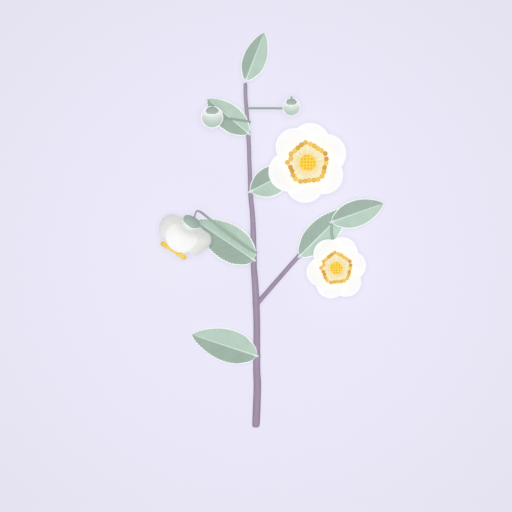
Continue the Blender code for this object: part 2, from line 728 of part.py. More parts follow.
def nodding_petal_place(heading, widest, kind, profile, along, across):
    """Point of a petal of the nodding flower in its frame."""
    share = 1.0 - (1.0 - along) ** 1.6
    radius, distance, normal = profile_point(profile, share)
    opening = min(1.0, share / 0.4)
    opening = PETAL_CLAW_ANGLE + (widest - PETAL_CLAW_ANGLE) * opening
    half = math.radians(opening) * (1.0 - share ** 5) ** 0.5
    turn = half * across
    lift = PETAL_STEP * edge_lift(kind, turn)
    radius += normal.x * lift
    distance += normal.y * lift
    angle = math.radians(heading) + turn
    flare = sum(size * max(0.0, math.cos(angle - math.radians(toward))) ** 4
                for toward, size in NOD_FLARES) * math.sin(math.pi * share) ** 2
    radius += flare
    distance -= flare * NOD_FLARE_PULL
    return Vector((radius * math.cos(angle), radius * math.sin(angle), distance))


def make_nodding_petals(collection):
    """Cup of six petals, the uppermost outside its neighbours."""
    core = turned("flower_c_petals", NOD_PETAL_BASE, 12, collection)
    petals = []
    for petal in NOD_PETALS:
        petals.append(sheet("petal", PETAL_ROWS, PETAL_COLUMNS,
                            lambda along, across: nodding_petal_place(*petal, along, across),
                            PETAL_THICKNESS, collection))
    fuse(core, petals)
    core.matrix_world = nodding_frame()
    give_material(core, PETAL_COLOUR, 0.5)


def make_nodding_calyx(collection):
    """Calyx of the nodding flower with its long hooked stalk."""
    frame = nodding_frame()
    tilt = Matrix.Rotation(math.radians(180.0 + NOD_CALYX_TILT), 4, "X")
    sagitta = math.sqrt(NOD_CALYX_CURVE ** 2 - NOD_CALYX_RADIUS ** 2)
    place = frame @ tilt @ Matrix.Translation((0.0, 0.0, -sagitta * MM))
    cap = lobed_cap("flower_c_calyx", NOD_CALYX_CURVE, NOD_CALYX_RADIUS, 0.0, SEPAL_THICKNESS,
                    place, collection)
    bend = math.radians(NOD_STALK_END_ANGLE)
    end = place @ (Vector((0.0, math.sin(bend), math.cos(bend))) * NOD_CALYX_CURVE * MM) / MM
    route = [Vector((*point, NOD_STALK_ROOT_RADIUS)) for point in stem_root(*NOD_STALK_ROOT)]
    route += [Vector(station) for station in NOD_STALK]
    route.append(Vector((*end, NOD_STALK[-1][3])))
    stalk = route_tube("stalk", smooth_route(route, 2), collection)
    fuse(cap, [stalk])
    give_material(cap, STALK_COLOUR, 0.5)


def make_nodding_stamens(collection):
    """Stamens that stand out of the nodding flower's mouth."""
    body = turned("flower_c_stamens", NOD_STAMEN_BASE, 10, collection)
    draw = random.Random(SEED + 1)
    dip = math.radians(NOD_DIP)
    grown = []
    for angle in NOD_ANTHER_ANGLES:
        turn = math.radians(angle + draw.uniform(-NOD_ANTHER_JITTER, NOD_ANTHER_JITTER))
        level = NOD_RING * math.sin(turn)
        tip = Vector((NOD_RING * math.cos(turn), level * math.cos(dip),
                      NOD_RING_DISTANCE - level * math.sin(dip)))
        root = Vector((tip.x * 0.12, tip.y * 0.12, NOD_FILAMENT_START))
        grown.append(rod("filament", root, tip, FILAMENT_RADIUS, 3, collection))
        size = NOD_ANTHER * min(1.0, NOD_ANTHER_LEAST + NOD_ANTHER_GROWTH * abs(math.cos(turn)))
        grown.append(ball("anther", tip, size, collection))
    fuse(body, grown, "MANIFOLD")
    body.matrix_world = nodding_frame()
    give_material(body, STAMEN_COLOUR, 0.6)


def make_bud(bud, collection):
    """Closed petals, lobed calyx and stalk that hooks round the bud."""
    centre = Vector(bud["centre"])
    shape = bmesh.new()
    bmesh.ops.create_uvsphere(shape, u_segments=16, v_segments=9, radius=bud["radius"] * MM)
    globe = mesh_object(bud["name"] + "_petals", shape, collection)
    tidy_body(globe)
    globe.location = centre * MM
    globe.rotation_euler.x = math.radians(-BUD_CALYX_TILT)
    give_material(globe, BUD_COLOUR, 0.5)

    cap_curve = bud["radius"] + GAP + BUD_CALYX_THICKNESS / 2
    place = Matrix.Translation(centre * MM) @ Matrix.Rotation(math.radians(-BUD_CALYX_TILT), 4, "X")
    cap = lobed_cap(bud["name"] + "_calyx", cap_curve, bud["cap"], BUD_CALYX_SQUASH,
                    BUD_CALYX_THICKNESS, place, collection)
    route = stem_root(*bud["root"]) + [Vector(point) for point in bud["route"]]
    clear = bud["radius"] + GAP + BUD_STALK_RADIUS
    for angle, extra in BUD_HOOK:
        turn = math.radians(angle)
        route.append(centre + Vector((0.0, math.sin(turn), math.cos(turn))) * (clear + extra))
    stations = smooth_route(route, 2)
    last = len(stations) - 1
    swell = BUD_STALK_RADIUS - BUD_NECK_RADIUS
    radii = [BUD_NECK_RADIUS + swell * min(1.0, (last - index) / (2 * len(BUD_HOOK)))
             for index in range(last + 1)]
    stalk = tube("stalk", stations, radii, collection, resolution=1)
    fuse(cap, [stalk])
    give_material(cap, STALK_COLOUR, 0.5)


def shade(collection):
    """Smooth shading with sharp edges kept."""
    for piece in collection.objects:
        piece.data.shade_smooth()
        piece.data.set_sharp_from_angle(angle=math.radians(SHARP_ANGLE))


def main():
    for piece in list(bpy.data.objects):
        bpy.data.objects.remove(piece)
    sprig = new_collection("tea_sprig")
    make_stem(sprig)
    make_shoot(sprig)
    for leaf in LEAVES:
        make_leaf(leaf, sprig)
    for flower in OPEN_FLOWERS:
        make_open_calyx(flower, sprig)
        make_open_petals(flower, sprig)
        make_open_stamens(flower, sprig)
    make_nodding_calyx(sprig)
    make_nodding_petals(sprig)
    make_nodding_stamens(sprig)
    for bud in BUDS:
        make_bud(bud, sprig)
    shade(sprig)


main()
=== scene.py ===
"""Looks of a flowering tea sprig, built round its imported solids.

Routes and sizes are in millimetres and the scene is in metres. +Y runs from the cut end to the
tip, +Z is up from the surface that the sprig lies on.
"""

import math
import random
from functools import partial

import bmesh
import bpy
from mathutils import Matrix, Vector, noise


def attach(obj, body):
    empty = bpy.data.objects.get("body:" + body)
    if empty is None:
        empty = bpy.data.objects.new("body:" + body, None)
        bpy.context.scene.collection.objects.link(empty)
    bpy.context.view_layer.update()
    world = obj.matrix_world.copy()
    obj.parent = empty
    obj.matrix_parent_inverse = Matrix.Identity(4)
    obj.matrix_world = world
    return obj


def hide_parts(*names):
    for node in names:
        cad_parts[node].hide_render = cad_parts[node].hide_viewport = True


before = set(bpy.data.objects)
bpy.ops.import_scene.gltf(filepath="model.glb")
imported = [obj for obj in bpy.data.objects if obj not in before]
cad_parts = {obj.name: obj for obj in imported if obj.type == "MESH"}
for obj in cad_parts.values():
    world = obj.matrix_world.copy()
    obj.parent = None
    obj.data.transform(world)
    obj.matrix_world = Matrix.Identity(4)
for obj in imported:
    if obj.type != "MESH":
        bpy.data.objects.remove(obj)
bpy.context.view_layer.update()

bl_info = {
    "name": "Flowering tea sprig",
    "version": (1, 0, 0),
    "blender": (4, 5, 0),
    "location": "3D View > Sidebar > Tea sprig",
    "description": "Builds the stem, leaves, flowers and buds of a cut sprig of tea",
    "category": "Add Mesh",
}

MM = 0.001
SEED = 7
WELD = 0.000001
SHARP_ANGLE = math.radians(55.0)
EDGE_THICKNESS = 0.4
BODY = "root"

# Rows and columns of the grids, faces round the stalks and turned bodies, and steps between
# the points of a route
PETAL_GRID = (34, 40)
SEPAL_GRID = (16, 14)
CAP_GRID = (16, 60)
BUD_PETAL_GRID = (36, 26)
CUP_ROWS = 18
LEAF_COLUMNS = 36
STALK_SIDES = 24
SHOOT_SIDES = 28
PETIOLE_SIDES = 20
TURNED_SIDES = 48
STEM_STEPS = 14
SHOOT_STEPS = 10
STALK_STEPS = 8
# Share of its radius that the ring which closes a tube's end has
END_RING = 0.6

# Stem: centre line x, y, z and radius, from the cut end to the tip
STEM_ROUTE = [
    (-8.3, -102.7, 2.00, 1.00),
    (-8.3, -102.45, 2.00, 1.42),
    (-8.3, -101.9, 2.00, 1.78),
    (-8.2, -101.0, 2.02, 1.94),
    (-8.0, -96.3, 2.25, 2.00),
    (-7.8, -91.1, 2.60, 1.98),
    (-7.5, -80.7, 3.30, 1.95),
    (-7.8, -72.9, 3.90, 1.85),
    (-7.8, -60.0, 4.80, 1.75),
    (-7.8, -46.9, 5.80, 1.72),
    (-8.3, -35.0, 6.80, 1.72),
    (-8.8, -26.1, 7.40, 1.68),
    (-9.3, -19.3, 7.90, 1.55),
    (-9.6, -2.7, 8.80, 1.45),
    (-9.8, 4.1, 9.00, 1.35),
    (-10.3, 11.3, 9.20, 1.25),
    (-10.8, 15.5, 9.30, 1.22),
    (-11.7, 36.3, 9.50, 1.08),
    (-11.9, 44.1, 9.40, 1.08),
    (-12.9, 59.7, 9.10, 1.00),
    (-13.6, 68.5, 8.60, 0.97),
    (-13.7, 75.7, 8.00, 0.93),
    (-13.7, 76.4, 7.95, 0.60),
]
BRANCH_ROUTE = [
    (-7.6, -38.2, 6.50, 1.10),
    (-6.2, -36.6, 6.40, 1.15),
    (3.7, -25.3, 5.60, 1.12),
    (14.1, -13.6, 4.90, 1.08),
    (17.0, -11.5, 4.55, 1.02),
    (20.4, -10.5, 4.30, 0.98),
    (25.1, -9.7, 4.10, 0.92),
    (29.0, -9.0, 4.00, 0.88),
]
SHOOT_ROUTE = [
    (28.6, -9.0, 4.00, 0.66),
    (31.6, -8.9, 4.10, 0.66),
    (33.0, -8.5, 4.80, 0.68),
    (33.2, -7.4, 6.20, 0.70),
    (32.4, -5.9, 7.15, 0.70),
    (31.5, -4.2, 7.40, 0.70),
    (31.1, -2.0, 7.40, 0.68),
    (31.0, 1.0, 7.40, 0.66),
    (31.0, 3.6, 7.40, 0.62),
]

# Depth and number of the ridges on green stalks and on the young shoot
STALK_RIDGES = (0.02, 6)
SHOOT_RIDGES = (0.03, 5)
# Bark: ridges round the stem and along a millimetre, and the knots of the side branch
RIDGES_ROUND = 2.4
RIDGES_ALONG = 0.09
KNOT_LENGTH = 1.3
BRANCH_KNOTS = [2.0, 33.0]

# Leaves: height over what carries them, half width at the base, outline and waves
LEAF_SEAT = 1.15
LEAF_BASE_HALF_WIDTH = 0.5
LEAF_BASE_FULLNESS = 0.60
LEAF_TIP_FULLNESS = 0.70
LEAF_WAVE = 0.22
LEAF_WAVES = 17.0
# Teeth start, grow and stop at shares of the length
TOOTH_START = 0.16
TOOTH_FADE = 0.08
TOOTH_STOP = 0.03
# Side veins lean towards the tip, bend further at the edge and stay clear of the midrib
VEIN_LEAN = 0.20
VEIN_BEND = 0.04
VEIN_CLEAR = 1.2
RIB_GROOVE = 0.14
RIB_GROOVE_WIDTH = 0.45
# Each leaf: place of its base, heading in degrees from +X, length, half widths on both sides of
# its midrib, share of the length where it is widest, and how it falls, bends and folds
LEAVES = [
    dict(name="leaf_lower_left", base=(-8.0, -65.4), carrier="stem", heading=162.0,
         length=35.3, left=8.0, right=8.8, widest=0.43, fall=5.4, bend=1.2, fold=0.10),
    dict(name="leaf_middle_left", base=(-9.3, -15.6), carrier="stem", heading=146.0,
         length=36.4, left=9.1, right=9.5, widest=0.42, fall=10.46, bend=1.25, fold=-0.15),
    dict(name="leaf_upper_right", base=(-11.1, 19.9), carrier="stem", heading=27.5,
         length=24.0, left=7.5, right=7.7, widest=0.49, fall=7.0, bend=1.2, fold=0.06),
    dict(name="leaf_upper_left", base=(-12.1, 50.1), carrier="stem", heading=140.0,
         length=27.9, left=6.8, right=6.5, widest=0.45, fall=6.6, bend=1.5, fold=-0.03),
    dict(name="leaf_top", base=(-13.5, 77.6), carrier="stem_tip", heading=69.0,
         length=26.6, left=5.7, right=6.4, widest=0.45, fall=4.0, bend=1.2, fold=0.10),
    dict(name="leaf_branch_lower", base=(14.5, -13.6), carrier="branch", heading=45.0,
         length=34.8, left=7.5, right=7.2, widest=0.45, fall=2.6, bend=1.2, fold=0.10),
    dict(name="leaf_branch_tip", base=(31.1, 4.1), carrier="shoot", heading=19.6,
         length=28.6, left=6.6, right=6.9, widest=0.46, fall=2.8, bend=1.2, fold=0.10),
]
# Petiole in the leaf's own frame, for a leaf seated on a stem and for one at a stem's tip
PETIOLE_ON_STEM = [(-0.7, 0.0, -1.45, 0.62), (-0.5, 0.0, -0.6, 0.60), (0.4, 0.0, -0.1, 0.55),
                   (1.8, 0.0, -0.12, 0.42)]
PETIOLE_AT_TIP = [(-2.0, 0.0, 0.0, 0.66), (-1.0, 0.0, -0.02, 0.60), (0.4, 0.0, -0.06, 0.52),
                  (1.8, 0.0, -0.12, 0.42)]

# Petals: radius of their root, shares and angles of their outline, and how they overlap
PETAL_ROOT = 2.2
PETAL_CENTRE = 0.515
PETAL_WIDEST_ANGLE = 54.0
PETAL_CLAW_ANGLE = 34.0
PETAL_CURVE = 1.4
PETAL_STEP = 1.10
PETAL_STEP_ANGLE = 60.0
PETAL_APART = 0.2
PETAL_VEINS = 6.5
PETAL_RELIEF = 0.05
PETAL_KINDS = ["lowest", "plain", "plain", "plain", "plain", "top"]
PETAL_BASE = [(0.0, 1.0), (2.6, 1.0), (3.3, 0.5), (3.3, -0.2), (2.6, -0.9), (0.0, -1.0)]
PETAL_BASE_TOP = 1.0
# Each open flower: how high its petals start and rise, their headings in degrees and reaches,
# radii of its ring, middle and anthers, spacing of the riper anthers, and its stalk's route
OPEN_FLOWERS = [
    dict(name="flower_a", centre=(18.56, 34.74), turn=0.0, rise=7.0, floor=5.5,
         petals=[(82.0, 20.8), (26.0, 21.1), (-36.5, 20.5), (-97.0, 20.8), (-155.5, 21.3),
                 (129.5, 20.4)],
         ring=9.8, disc=4.5, anther=1.25, dot_pitch=1.62,
         route=[(-10.6, 22.6, 9.1), (-9.5, 22.6, 8.8), (-8.2, 22.8, 8.3), (-5.0, 24.2, 7.7),
                (0.0, 26.5, 6.1), (5.0, 28.8, 4.5), (10.0, 31.0, 3.1), (14.5, 33.0, 2.4),
                (17.0, 34.1, 2.1)]),
    dict(name="flower_b", centre=(33.49, -19.97), turn=-16.0, rise=6.0, floor=5.5,
         petals=[(86.0, 16.7), (26.0, 15.5), (-38.0, 16.4), (-94.0, 16.1), (-150.0, 15.7),
                 (136.0, 16.1)],
         ring=7.45, disc=3.38, anther=0.96, dot_pitch=1.30,
         route=[(28.8, -9.3, 4.0), (29.4, -10.8, 3.85), (29.9, -12.7, 3.4), (31.4, -16.0, 2.6),
                (32.6, -18.4, 2.1)]),
]
STALK_RADIUS = 0.55
# Ring of long stamens: it runs clockwise from its first stamen, in five soft corners, and does
# not quite close: the first stamen stands out of the ring and the second stands in
STAMEN_COUNT = 26
STAMEN_START = 179.0
STAMEN_CORNERS = 5
STAMEN_CORNER_DEPTH = 0.07
STAMEN_CORNER_TURN = 24.0
STAMEN_FIRST_OUT = 0.035
STAMEN_SECOND_IN = 0.14
STAMEN_JITTER = 0.2
STAMEN_TURN_JITTER = 1.2
RING_CLEAR = 1.1
# Filaments: radii, faces, spread in degrees, and where they root as a share of the middle
THREAD_RADII = [0.17, 0.15, 0.12]
THREAD_SIDES = 5
THREAD_SPREAD = 6.5
THREAD_ROOT = 0.55
# Cup that the filaments form: shares of the middle and of the ring, flutes and thickness
CUP_INNER = 0.4
CUP_OUTER = 0.98
FLUTES = 66
FLUTE_DEPTH = 0.07
CUP_THICKNESS = 0.25
# Anther: its shares of length, width and height, and the groove between its pollen sacs
ANTHER_SHAPE = (1.02, 0.98, 0.85)
ANTHER_GROOVE = 0.16
ANTHER_GROOVE_WIDTH = 0.22
# Middle of the flower: height of the filaments' roots, depth and rise from there, shares of
# its radius where all and the riper anthers end, and their sizes as shares of their spacing
DISC_SEAT = 2.3
DISC_DEPTH = 2.0
DISC_RISE = 1.9
DISC_EDGE = 0.93
RIPE_EDGE = 0.88
DOT_SIZE = 0.28
RIPE_SIZE = 0.36
# Sepals, and the receptacle on its flat foot
SEPAL_COUNT = 5
SEPAL_TURN = 18.0
SEPAL_ROOT = 1.8
SEPAL_LENGTH = 4.6
SEPAL_HALF_ANGLE = 34.0
SEPAL_HEIGHT = 2.75
SEPAL_RISE = 1.3
SEPAL_THICKNESS = 0.6
FOOT_RADIUS = 1.6
RECEPTACLE_RADIUS = 2.9
RECEPTACLE_HEIGHT = 3.0

# Nodding flower: its calyx, and the direction from calyx to mouth
NOD_CALYX = (-41.8, 3.8, 16.05)
NOD_HEADING = 237.5
NOD_DIP = 20.5
NOD_CALYX_TILT = 14.8
NOD_CALYX_RADIUS = 5.0
NOD_CALYX_CURVE = 7.5
NOD_FRONT_PROFILE = [(2.5, 1.6), (4.9, 2.9), (7.5, 3.0), (10.4, 3.9), (12.2, 6.8), (12.6, 10.2),
                     (11.7, 13.8)]
NOD_LEFT_PROFILE = [(2.4, 1.1), (4.9, 2.2), (7.5, 3.0), (10.3, 4.5), (12.0, 7.0), (12.4, 9.6),
                    (11.6, 12.8)]
NOD_SIDE_PROFILE = [(2.4, 1.1), (4.9, 2.0), (7.5, 2.5), (10.6, 3.6), (12.2, 6.2), (12.6, 9.2),
                    (12.0, 12.4)]
# Heading, half angle, how the edges lie, and profile
NOD_PETALS = [
    (91.0, 42.0, "outside", NOD_FRONT_PROFILE),
    (152.0, 46.0, "left", NOD_LEFT_PROFILE),
    (212.0, 46.0, "left", NOD_LEFT_PROFILE),
    (270.0, 46.0, "inside", NOD_SIDE_PROFILE),
    (328.0, 46.0, "right", NOD_SIDE_PROFILE),
    (24.0, 46.0, "right", NOD_SIDE_PROFILE),
]
# The petals bulge towards both sides, by a heading and a size, and are pulled back as they do
NOD_FLARES = [(8.0, 2.2), (172.0, 1.0)]
NOD_FLARE_PULL = 0.7
NOD_PETAL_BASE = [(0.0, 2.9), (2.4, 2.9), (3.2, 2.5), (3.2, 1.2), (2.4, 0.5), (0.0, 0.3)]
NOD_STAMENS = 36
NOD_RING = 6.6
NOD_RING_DISTANCE = 18.4
NOD_THREAD_ROOT = 6.2
NOD_COLUMN = [(0.0, 8.0), (1.2, 7.6), (1.9, 6.0), (1.9, 3.2), (1.8, 2.7), (0.0, 2.7)]
# Anthers are smaller on the ring's upper and lower sides: size, smallest share and growth
NOD_ANTHER = 1.3
NOD_ANTHER_LEAST = 0.7
NOD_ANTHER_GROWTH = 0.5
# Stalk: x, y, z and radius, and its end's angle from the middle of the calyx in degrees
NOD_STALK = [(-8.6, -12.0, 9.6, 0.52), (-8.1, -12.0, 10.4, 0.52), (-7.9, -11.9, 11.6, 0.52),
             (-8.8, -11.5, 12.9, 0.58), (-11.5, -10.0, 13.3, 0.66), (-17.5, -5.7, 13.4, 0.68),
             (-25.6, 0.4, 14.9, 0.68), (-32.6, 5.8, 17.2, 0.66), (-36.9, 9.2, 19.0, 0.62),
             (-38.8, 9.7, 18.9, 0.50), (-39.5, 8.6, 17.6, 0.42)]
NOD_STALK_END_ANGLE = 20.0

# Buds: tilt of the calyx from straight up towards +Y, in degrees, its shape, and the stalk
BUD_CALYX_TILT = 36.0
BUD_CALYX_SQUASH = 0.26
BUD_STALK_RADIUS = 0.55
BUD_NECK_RADIUS = 0.38
BUD_GAP = 0.3
CALYX_LOBE = 0.03
# Petals wrapped round a bud, by angles in degrees, and how far one side stands out
BUD_PETAL_START = 8.0
BUD_PETAL_SPAN = 171.0
BUD_PETAL_HALF_ANGLE = 62.0
BUD_PETAL_TWIST = 20.0
BUD_PETAL_LAP = 0.16
BUD_PETAL_THICKNESS = 0.3
BUD_CAP_THICKNESS = 0.55
# The stalk hooks round the globe: angles in degrees from straight up, and extra distances
BUD_HOOK = [(152.0, 0.25), (125.0, 0.05), (100.0, -0.12), (80.0, -0.16), (58.0, -0.10)]
BUDS = [
    dict(name="bud_left", centre=(-30.9, 58.45, 16.7), radius=5.72, cap=3.45,
         route=[(-12.2, 56.0, 9.6), (-11.6, 56.0, 10.6), (-11.3, 56.1, 11.8),
                (-12.4, 56.3, 13.0), (-15.8, 56.8, 12.8), (-21.2, 57.6, 11.5),
                (-25.4, 58.1, 10.4), (-29.0, 58.9, 10.0)]),
    dict(name="bud_right", centre=(10.2, 63.6, 15.0), radius=4.58, cap=2.9,
         route=[(-12.8, 63.1, 9.2), (-9.0, 63.1, 9.5), (0.0, 63.1, 9.6), (5.5, 63.1, 9.45),
                (8.8, 63.8, 9.4)]),
]

# Stage: where the camera looks straight down, and half the floor's side in metres
VIEW_CENTRE = (-8.2 * MM, -13.6 * MM)
FLOOR_SIZE = 12.0


def linear_colour(code):
    """Linear colour of an sRGB hex code."""
    channels = []
    for start in (0, 2, 4):
        value = int(code[start:start + 2], 16) / 255.0
        if value <= 0.04045:
            channels.append(value / 12.92)
        else:
            channels.append(((value + 0.055) / 1.055) ** 2.4)
    return (*channels, 1.0)


def colour_property(name, description, code):
    """A colour that the user can change, from an sRGB hex code."""
    return bpy.props.FloatVectorProperty(name=name, description=description, subtype="COLOR",
                                         size=4, min=0.0, max=1.0, default=linear_colour(code))


def length_property(name, description, millimetres):
    """A length that the user can change, from millimetres."""
    return bpy.props.FloatProperty(name=name, description=description, subtype="DISTANCE",
                                   unit="LENGTH", min=0.0, precision=5,
                                   default=millimetres * MM)


class StemSettings(bpy.types.PropertyGroup):
    """Sizes and colours of the woody stem and its side branch."""
    low_colour: colour_property("Low bark", "Bark colour at the cut end", "9E8BA3")
    high_colour: colour_property("High bark", "Bark colour at the tip", "9F93A8")
    pore_colour: colour_property("Pores", "Pale pores of the bark", "C9BDCB")
    wood_colour: colour_property("Cut wood", "Wood on the cut face", "D9CCB8")
    ridge_depth: length_property("Ridge depth", "Depth of the fine ridges of the bark", 0.05)
    knot_height: length_property("Knot height", "Swelling under each leaf", 0.16)
    sides: bpy.props.IntProperty(name="Sides", description="Faces round the stem", default=40)


class LeafSettings(bpy.types.PropertyGroup):
    """Sizes and colours of the leaves."""
    # Painted light and shade: the light half stands for the lit side of the folded blade, the dark
    # half for its shaded side
    light_colour: colour_property("Light half", "Upper face to the right of the midrib",
                                  "AFC5B7")
    dark_colour: colour_property("Dark half", "Upper face to the left of the midrib", "95A99C")
    under_colour: colour_property("Underside", "Paler underside", "B9C9BC")
    rib_colour: colour_property("Midrib", "Midrib and side veins", "C9DED1")
    rim_colour: colour_property("Rim", "Thin pale margin", "F8FCFA")
    petiole_colour: colour_property("Petiole", "Short leaf stalk", "EEF2F2")
    thickness: length_property("Thickness", "Thickness of the blade", 0.50)
    rim_width: length_property("Rim width", "Width of the pale margin", 0.56)
    rib_width: length_property("Midrib width", "Width of the midrib at the base", 0.78)
    vein_depth: length_property("Vein depth", "How deep the side veins lie", 0.10)
    tooth_height: length_property("Tooth height", "Height of the teeth of the margin", 0.72)
    teeth: bpy.props.IntProperty(name="Teeth", description="Teeth on each side", default=24)
    vein_pairs: bpy.props.IntProperty(name="Vein pairs", description="Side veins on each side",
                                      default=8)


class FlowerSettings(bpy.types.PropertyGroup):
    """Sizes and colours of the flowers."""
    petal_colour: colour_property("Petal", "White of the petals", "FAFAFB")
    petal_shade: colour_property("Petal base", "Petal near the stamens", "F6F7F5")
    front_colour: colour_property("Front petal", "Front petal of the nodding flower", "F0F0EE")
    front_tip: colour_property("Front tip", "Tip of that petal", "FBFBFD")
    # Painted shade: the back petals' colours are a greyer, shaded copy of the white, also laid on
    # the front petal's sides
    shaded_colour: colour_property("Shaded petal", "Back petals of the nodding flower", "E5E5E2")
    shaded_tip: colour_property("Shaded tip", "Tips of those petals", "F1F1F0")
    filament_colour: colour_property("Filament", "Outer end of the filaments", "F2EBD0")
    filament_root: colour_property("Filament root", "Inner end of the filaments", "F2E2AE")
    anther_light: colour_property("Light anthers", "Lightest anthers of the ring", "FBD960")
    anther_dark: colour_property("Dark anthers", "Darker anthers of the ring", "EDBA48")
    anther_ripe: colour_property("Ripe anthers", "Ripest anthers of the ring", "DEA642")
    disc_colour: colour_property("Middle stamens", "Crowded stamens in the middle", "FFDE52")
    disc_shade: colour_property("Middle shade", "Darker stamens in the middle", "FBD44A")
    dot_colour: colour_property("Middle anthers", "Riper anthers in the middle", "EFBE42")
    bar_colour: colour_property("Nodding anthers", "Anthers of the nodding flower", "FFE259")
    bar_shade: colour_property("Nodding shade", "Darker anthers of the nodding flower", "F8D552")
    stalk_colour: colour_property("Stalk", "Flower stalks and young shoot", "A2BBAA")
    stalk_end: colour_property("Stalk end", "Bend of the long stalk", "A7A4AF")
    calyx_colour: colour_property("Calyx", "Sepals", "A7BAAF")
    calyx_rim: colour_property("Sepal margin", "Thin pale margin of the sepals", "F4F8F6")
    petal_thickness: length_property("Petal thickness", "Thickness in a petal's middle", 0.45)
    filaments: bpy.props.IntProperty(name="Filaments", description="Filaments of one flower",
                                     default=162)


class BudSettings(bpy.types.PropertyGroup):
    """Sizes and colours of the closed buds."""
    top_colour: colour_property("Near the calyx", "Bud petals next to the calyx", "EAF1EC")
    middle_colour: colour_property("Middle", "Bud petals half way down", "D6DFD8")
    tip_colour: colour_property("Tip", "Bud petals at the tip", "BCD0C4")
    # Painted highlight: a pale band round a bud's middle, along its outline seen from above
    highlight_colour: colour_property("Band", "Pale band round a bud's middle", "FAFDFB")
    calyx_colour: colour_property("Calyx", "Sepals of a bud", "A5B4AA")
    stalk_colour: colour_property("Stalk", "Stalks of the buds", "9DAEA6")
    petals: bpy.props.IntProperty(name="Petals", description="Petals wrapped round a bud",
                                  default=5)


class StageSettings(bpy.types.PropertyGroup):
    """Floor, light and camera."""
    floor_colour: colour_property("Floor", "Pale lavender ground", "EAE7F8")
    # Painted light: the ground darkens further out, as light falling off from the middle
    falloff_colour: colour_property("Floor edge", "Ground further out", "E3E1EF")
    view_width: length_property("View width", "Width of the ground that the camera sees",
                                266.24)
    distance: length_property("Camera height", "Height of the camera over the ground", 6000.0)
    room_light: bpy.props.FloatProperty(name="Room light", description="Light from all round",
                                        default=0.30, min=0.0)
    ceiling_light: bpy.props.FloatProperty(name="Ceiling light",
                                           description="Light from straight above", default=2.54,
                                           min=0.0)


def set_node(made, settings):
    """Set or link a node's properties and sockets."""
    for key, value in settings.items():
        if isinstance(value, bpy.types.NodeSocket):
            made.id_data.links.new(value, made.inputs[key])
        elif isinstance(key, int) or key in made.inputs:
            made.inputs[key].default_value = value
        else:
            setattr(made, key, value)


def add_node(material, kind, settings=None, output=0):
    """Add a shader node with its settings and links, and give one of its outputs."""
    made = material.node_tree.nodes.new("ShaderNode" + kind)
    set_node(made, settings or {})
    return made.outputs[output]


def new_material(name, roughness, ior, specular, more=None):
    """A material, its Principled shader with constant values, and what adds its nodes."""
    material = bpy.data.materials.new(name)
    material.use_nodes = True
    shader = material.node_tree.nodes["Principled BSDF"]
    set_node(shader, {"Roughness": roughness, "IOR": ior, "Specular IOR Level": specular})
    set_node(shader, more or {})
    return material, shader, partial(add_node, material)


def set_stops(ramp, stops):
    """Give the ramp behind a colour output its positions and colours."""
    elements = ramp.node.color_ramp.elements
    for position, shade in stops[1:-1]:
        elements.new(position)
    for element, (position, shade) in zip(elements, stops):
        element.position = position
        element.color = shade


def mottled(node, colour, vector, size, low, high, detail=3.0, reach=0.2):
    """A colour with uneven spots of a size, darkened to the share low and lightened to high."""
    spots = node("TexNoise", {"Scale": 1.0 / size, "Detail": detail, "Vector": vector})
    light = node("MapRange", {"From Min": 0.5 - reach, "From Max": 0.5 + reach, "To Min": low,
                              "To Max": high, "Value": spots})
    return node("VectorMath", {"operation": "SCALE", 0: colour, "Scale": light})


def fine_bump(node, shader, vector, size, height_mm, stretch=(1.0, 1.0, 1.0)):
    """Small uneven relief of a size in the vector's own unit, and a height in millimetres."""
    mapped = node("Mapping", {"Scale": stretch, "Vector": vector})
    grains = node("TexNoise", {"Scale": 1.0 / size, "Detail": 3.0, "Vector": mapped})
    bump = node("Bump", {"Strength": 0.6, "Distance": height_mm * MM, "Height": grains})
    set_node(shader, {"Normal": bump})


def glow(node, shader, colour, glow_strength, kept, glow_colour=None):
    """Painted glow: it gives off a share of its colour as light, though no lamp, and keeps a share.
    """
    dimmed = node("VectorMath", {"operation": "SCALE", "Scale": kept, 0: colour})
    set_node(shader, {"Base Color": dimmed, "Emission Color": glow_colour or colour,
                      "Emission Strength": glow_strength})


def bark_material(stem):
    """Bark of a young tea twig, grown: dry and matt, with fine long fibres and pale pores."""
    material, shader, node = new_material("tea_twig_bark", 0.72, 1.45, 0.2)
    grain = node("Attribute", {"attribute_name": "grain"}, "Vector")
    cut = node("Attribute", {"attribute_name": "cut"}, "Fac")
    length = node("SeparateXYZ", {"Vector": grain}, "Z")
    height = node("MapRange", {"From Max": 180.0, "Value": length})
    ground = node("Mix", {"data_type": "RGBA", 0: height, 6: stem.low_colour,
                          7: stem.high_colour}, 2)
    # Fibres about 0.5 mm wide and ten times as long
    mapped = node("Mapping", {"Scale": (1.0, 1.0, 0.1), "Vector": grain})
    coloured = mottled(node, ground, mapped, 0.5, 0.93, 1.05, 4.0, 0.15)
    # Pores about 0.3 mm across, 2.5 mm apart, and the wood of the cut face
    pores = node("TexVoronoi", {"Scale": 1.0 / 2.5, "Vector": mapped})
    pore = node("MapRange", {"From Min": 0.05, "From Max": 0.14, "To Min": 0.35, "To Max": 0.0,
                             "Value": pores})
    for share, shade in ((pore, stem.pore_colour), (cut, stem.wood_colour)):
        coloured = node("Mix", {"data_type": "RGBA", 0: share, 6: coloured, 7: shade}, 2)
    set_node(shader, {"Base Color": coloured})
    fine_bump(node, shader, grain, 0.3, 0.05, (1.0, 1.0, 0.12))
    return material


